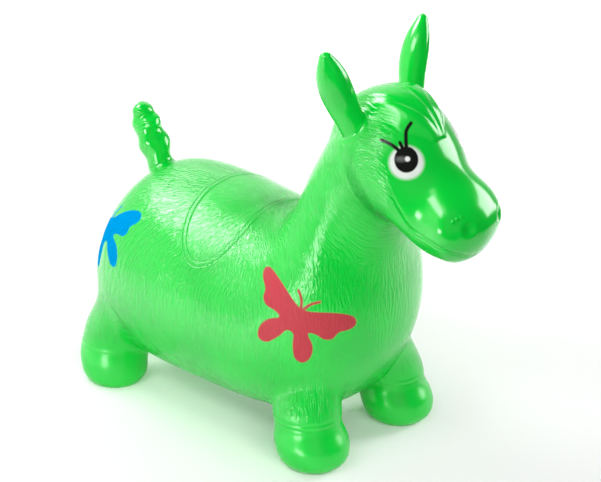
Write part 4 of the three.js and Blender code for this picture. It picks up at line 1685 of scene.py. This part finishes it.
class Horse:
    """The dressed toy: skins, limbs and plug; the barrel skin and the plug hang on the frame's
    bodies.

    Places are millimetres. A bend is a pair of reaches or heights.
    """

    neck_middle = (95.03, 0.0, 265.0)
    neck_way = (0.805, 0.0, 0.594)
    neck_bend = (-22.0, 25.0)
    leg_bend = (95.0, 32.0)
    ear_bend = (4.0, 2.0)
    chest_start, head_start = 5.2, 9.0
    white, black, grey = "#F4F6F4", "#10140F", "#8E9490"
    red, blue = "#C8244A", "#0096D8"
    red_print = Butterfly((91.0, -97.3, 185.4), (0.44, -0.898, 0.014), math.radians(65), 0.98)
    blue_print = Butterfly((-204.2, -83.8, 200.5), (-0.466, -0.765, 0.445), math.radians(114), 0.92)
    red_prints = (red_print, red_print.opposite(-32, (0.15, 0.98, 0.12)))
    blue_prints = (blue_print, blue_print.opposite(0, (-0.46, 0.78, 0.42)))
    eyes = {Side.RIGHT: Eye(), Side.LEFT: Eye(centre=(181.2, -48.7, 370.8))}

    def __init__(self) -> None:
        """Take the body's place from the frame and make the finishes."""
        low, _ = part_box("barrel_shell")
        self.body = Body(rump_x=low.x / MM)
        blue = Paint("print", self.blue, edge=0.7, gloss=0.5, mirror=0.0)
        red = Paint("print", self.red, edge=0.9, cover=0.95, gloss=0.5, mirror=0.12)
        eye = (
            Paint("eye_white", self.white, edge=2.4, cover=0.92),
            Paint("eye_black", self.black, edge=0.8),
            Paint("eye_shine", self.grey, edge=2.2, cover=0.5),
            Paint("eye_glint", self.white, edge=0.9),
        )
        self.barrel_pvc = SoftPvc("soft_pvc_barrel", gloss=0.27, paints=(blue,)).make()
        self.chest_pvc = SoftPvc("soft_pvc_chest", gloss=0.27, paints=(red,)).make()
        self.head_pvc = SoftPvc("soft_pvc_head", gloss=0.17, paints=eye).make()
        self.smooth_pvc = SoftPvc("soft_pvc_smooth", furred=False).make()
        self.plug_pe = Polyethylene().make()

    def dress(
        self, piece: bpy.types.Object, finish: bpy.types.Material, slot: str, *nodes: str
    ) -> bpy.types.Object:
        """Give a piece its finish and say which solids it stands for.

        Args:
            piece: the new piece.
            finish: its material.
            slot: material slot of the record.
            nodes: solids that it replaces.

        Returns:
            The same piece.
        """
        piece.data.materials.append(finish)
        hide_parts(*nodes)
        log.info("%s: %d faces for %s", piece.name, len(piece.data.polygons), ", ".join(nodes))
        return piece

    def bend_at_neck(self, piece: bpy.types.Object) -> None:
        """Bake a skin's place into its mesh."""
        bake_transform(piece)

    def skins(self) -> None:
        """Build the skins of barrel, chest with neck, and head."""
        body, chest_start, head_start = self.body, self.chest_start, self.head_start
        barrel = Skin("barrel_skin", body, 0, chest_start, rings=250, columns=380,
                      prints=self.blue_prints, closed_start=True).build()
        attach(self.dress(barrel, self.barrel_pvc, "green_pvc", "barrel_shell"), "trunk")
        chest = Skin("chest_skin", body, chest_start, head_start, rings=245, columns=400,
                     prints=self.red_prints).build()
        self.dress(chest, self.chest_pvc, "green_pvc", "chest_shell", "neck_band")
        self.bend_at_neck(chest)
        head = Skin("head_skin", body, head_start, body.nose, rings=270, columns=360,
                    eyes=self.eyes, closed_end=True).build()
        self.dress(head, self.head_pvc, "green_pvc", "head_shell")
        self.bend_at_neck(head)

    def legs(self) -> None:
        """Build the four legs."""
        for side in Side:
            front = Leg(
                End.FRONT, side, self.body, along=0.865, track=150, radius=40, lean=(-24, -23),
                form=FRONT_LEG_FORM, crease_height=52, crease_depth=0.8, root_centre=(6.2, 2.4),
                prints=self.red_prints, root_radius=10)
            rear = Leg(
                End.REAR, side, self.body, along=0.052, track=122, radius=38, lean=(48, -13),
                form=REAR_LEG_FORM, crease_height=42, crease_depth=0.5, root_centre=(2.4, 2.4),
                prints=self.blue_prints)
            for leg, finish in ((front, self.chest_pvc), (rear, self.barrel_pvc)):
                sleeve, hoof = f"leg_sleeve_{leg.name}", f"hoof_{leg.name}"
                piece = self.dress(leg.build(), finish, "green_pvc", sleeve, hoof)
                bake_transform(piece)

    def ears(self) -> None:
        """Build the two ears at their roots on the head."""
        for side in Side:
            name = f"ear_{side.name.lower()}"
            ear = Finger(
                f"{name}_skin", self.body, station=12.36, angle=0.72, side=side.value, length=83,
                broad=35, thin=28, form=EAR_FORM, broad_way=(1, -side.value, 0), root_radius=5,
                hollow=1.4)
            piece = self.dress(ear.build(), self.smooth_pvc, "green_pvc", f"{name}_root", name)
            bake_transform(piece)

    def tail(self) -> None:
        """Build the tail at its root, which the rump lifts."""
        tail = Finger(
            "tail_skin", self.body, station=2.06, angle=0, side=1, length=71, broad=35, thin=35,
            form=TAIL_FORM, broad_way=(0, 1, 0), root_radius=6, twist=1, blunt=10, grooves=(51,))
        piece = self.dress(tail.build(), self.smooth_pvc, "green_pvc", "tail_root", "tail")
        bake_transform(piece)

    def plug(self) -> None:
        """Build the air plug on its own body."""
        low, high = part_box("valve_plug")
        middle = (low + high) / 2 / MM
        plug = AirPlug((middle.x, middle.y), low.z / MM).build()
        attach(self.dress(plug, self.plug_pe, "white_plug", "valve_plug"), "valve_plug")

    def build(self) -> None:
        """Build every piece in order."""
        self.skins()
        self.legs()
        self.ears()
        self.tail()
        self.plug()


def corners(box: Any) -> list[list[float]]:
    """Write a box as plain lists of numbers."""
    return [[float(c) for c in corner] for corner in box]


def main() -> None:
    logging.basicConfig(level=logging.INFO, format="%(message)s")
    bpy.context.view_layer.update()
    Horse().build()
    Studio().build()


if __name__ == "__main__":
    main()
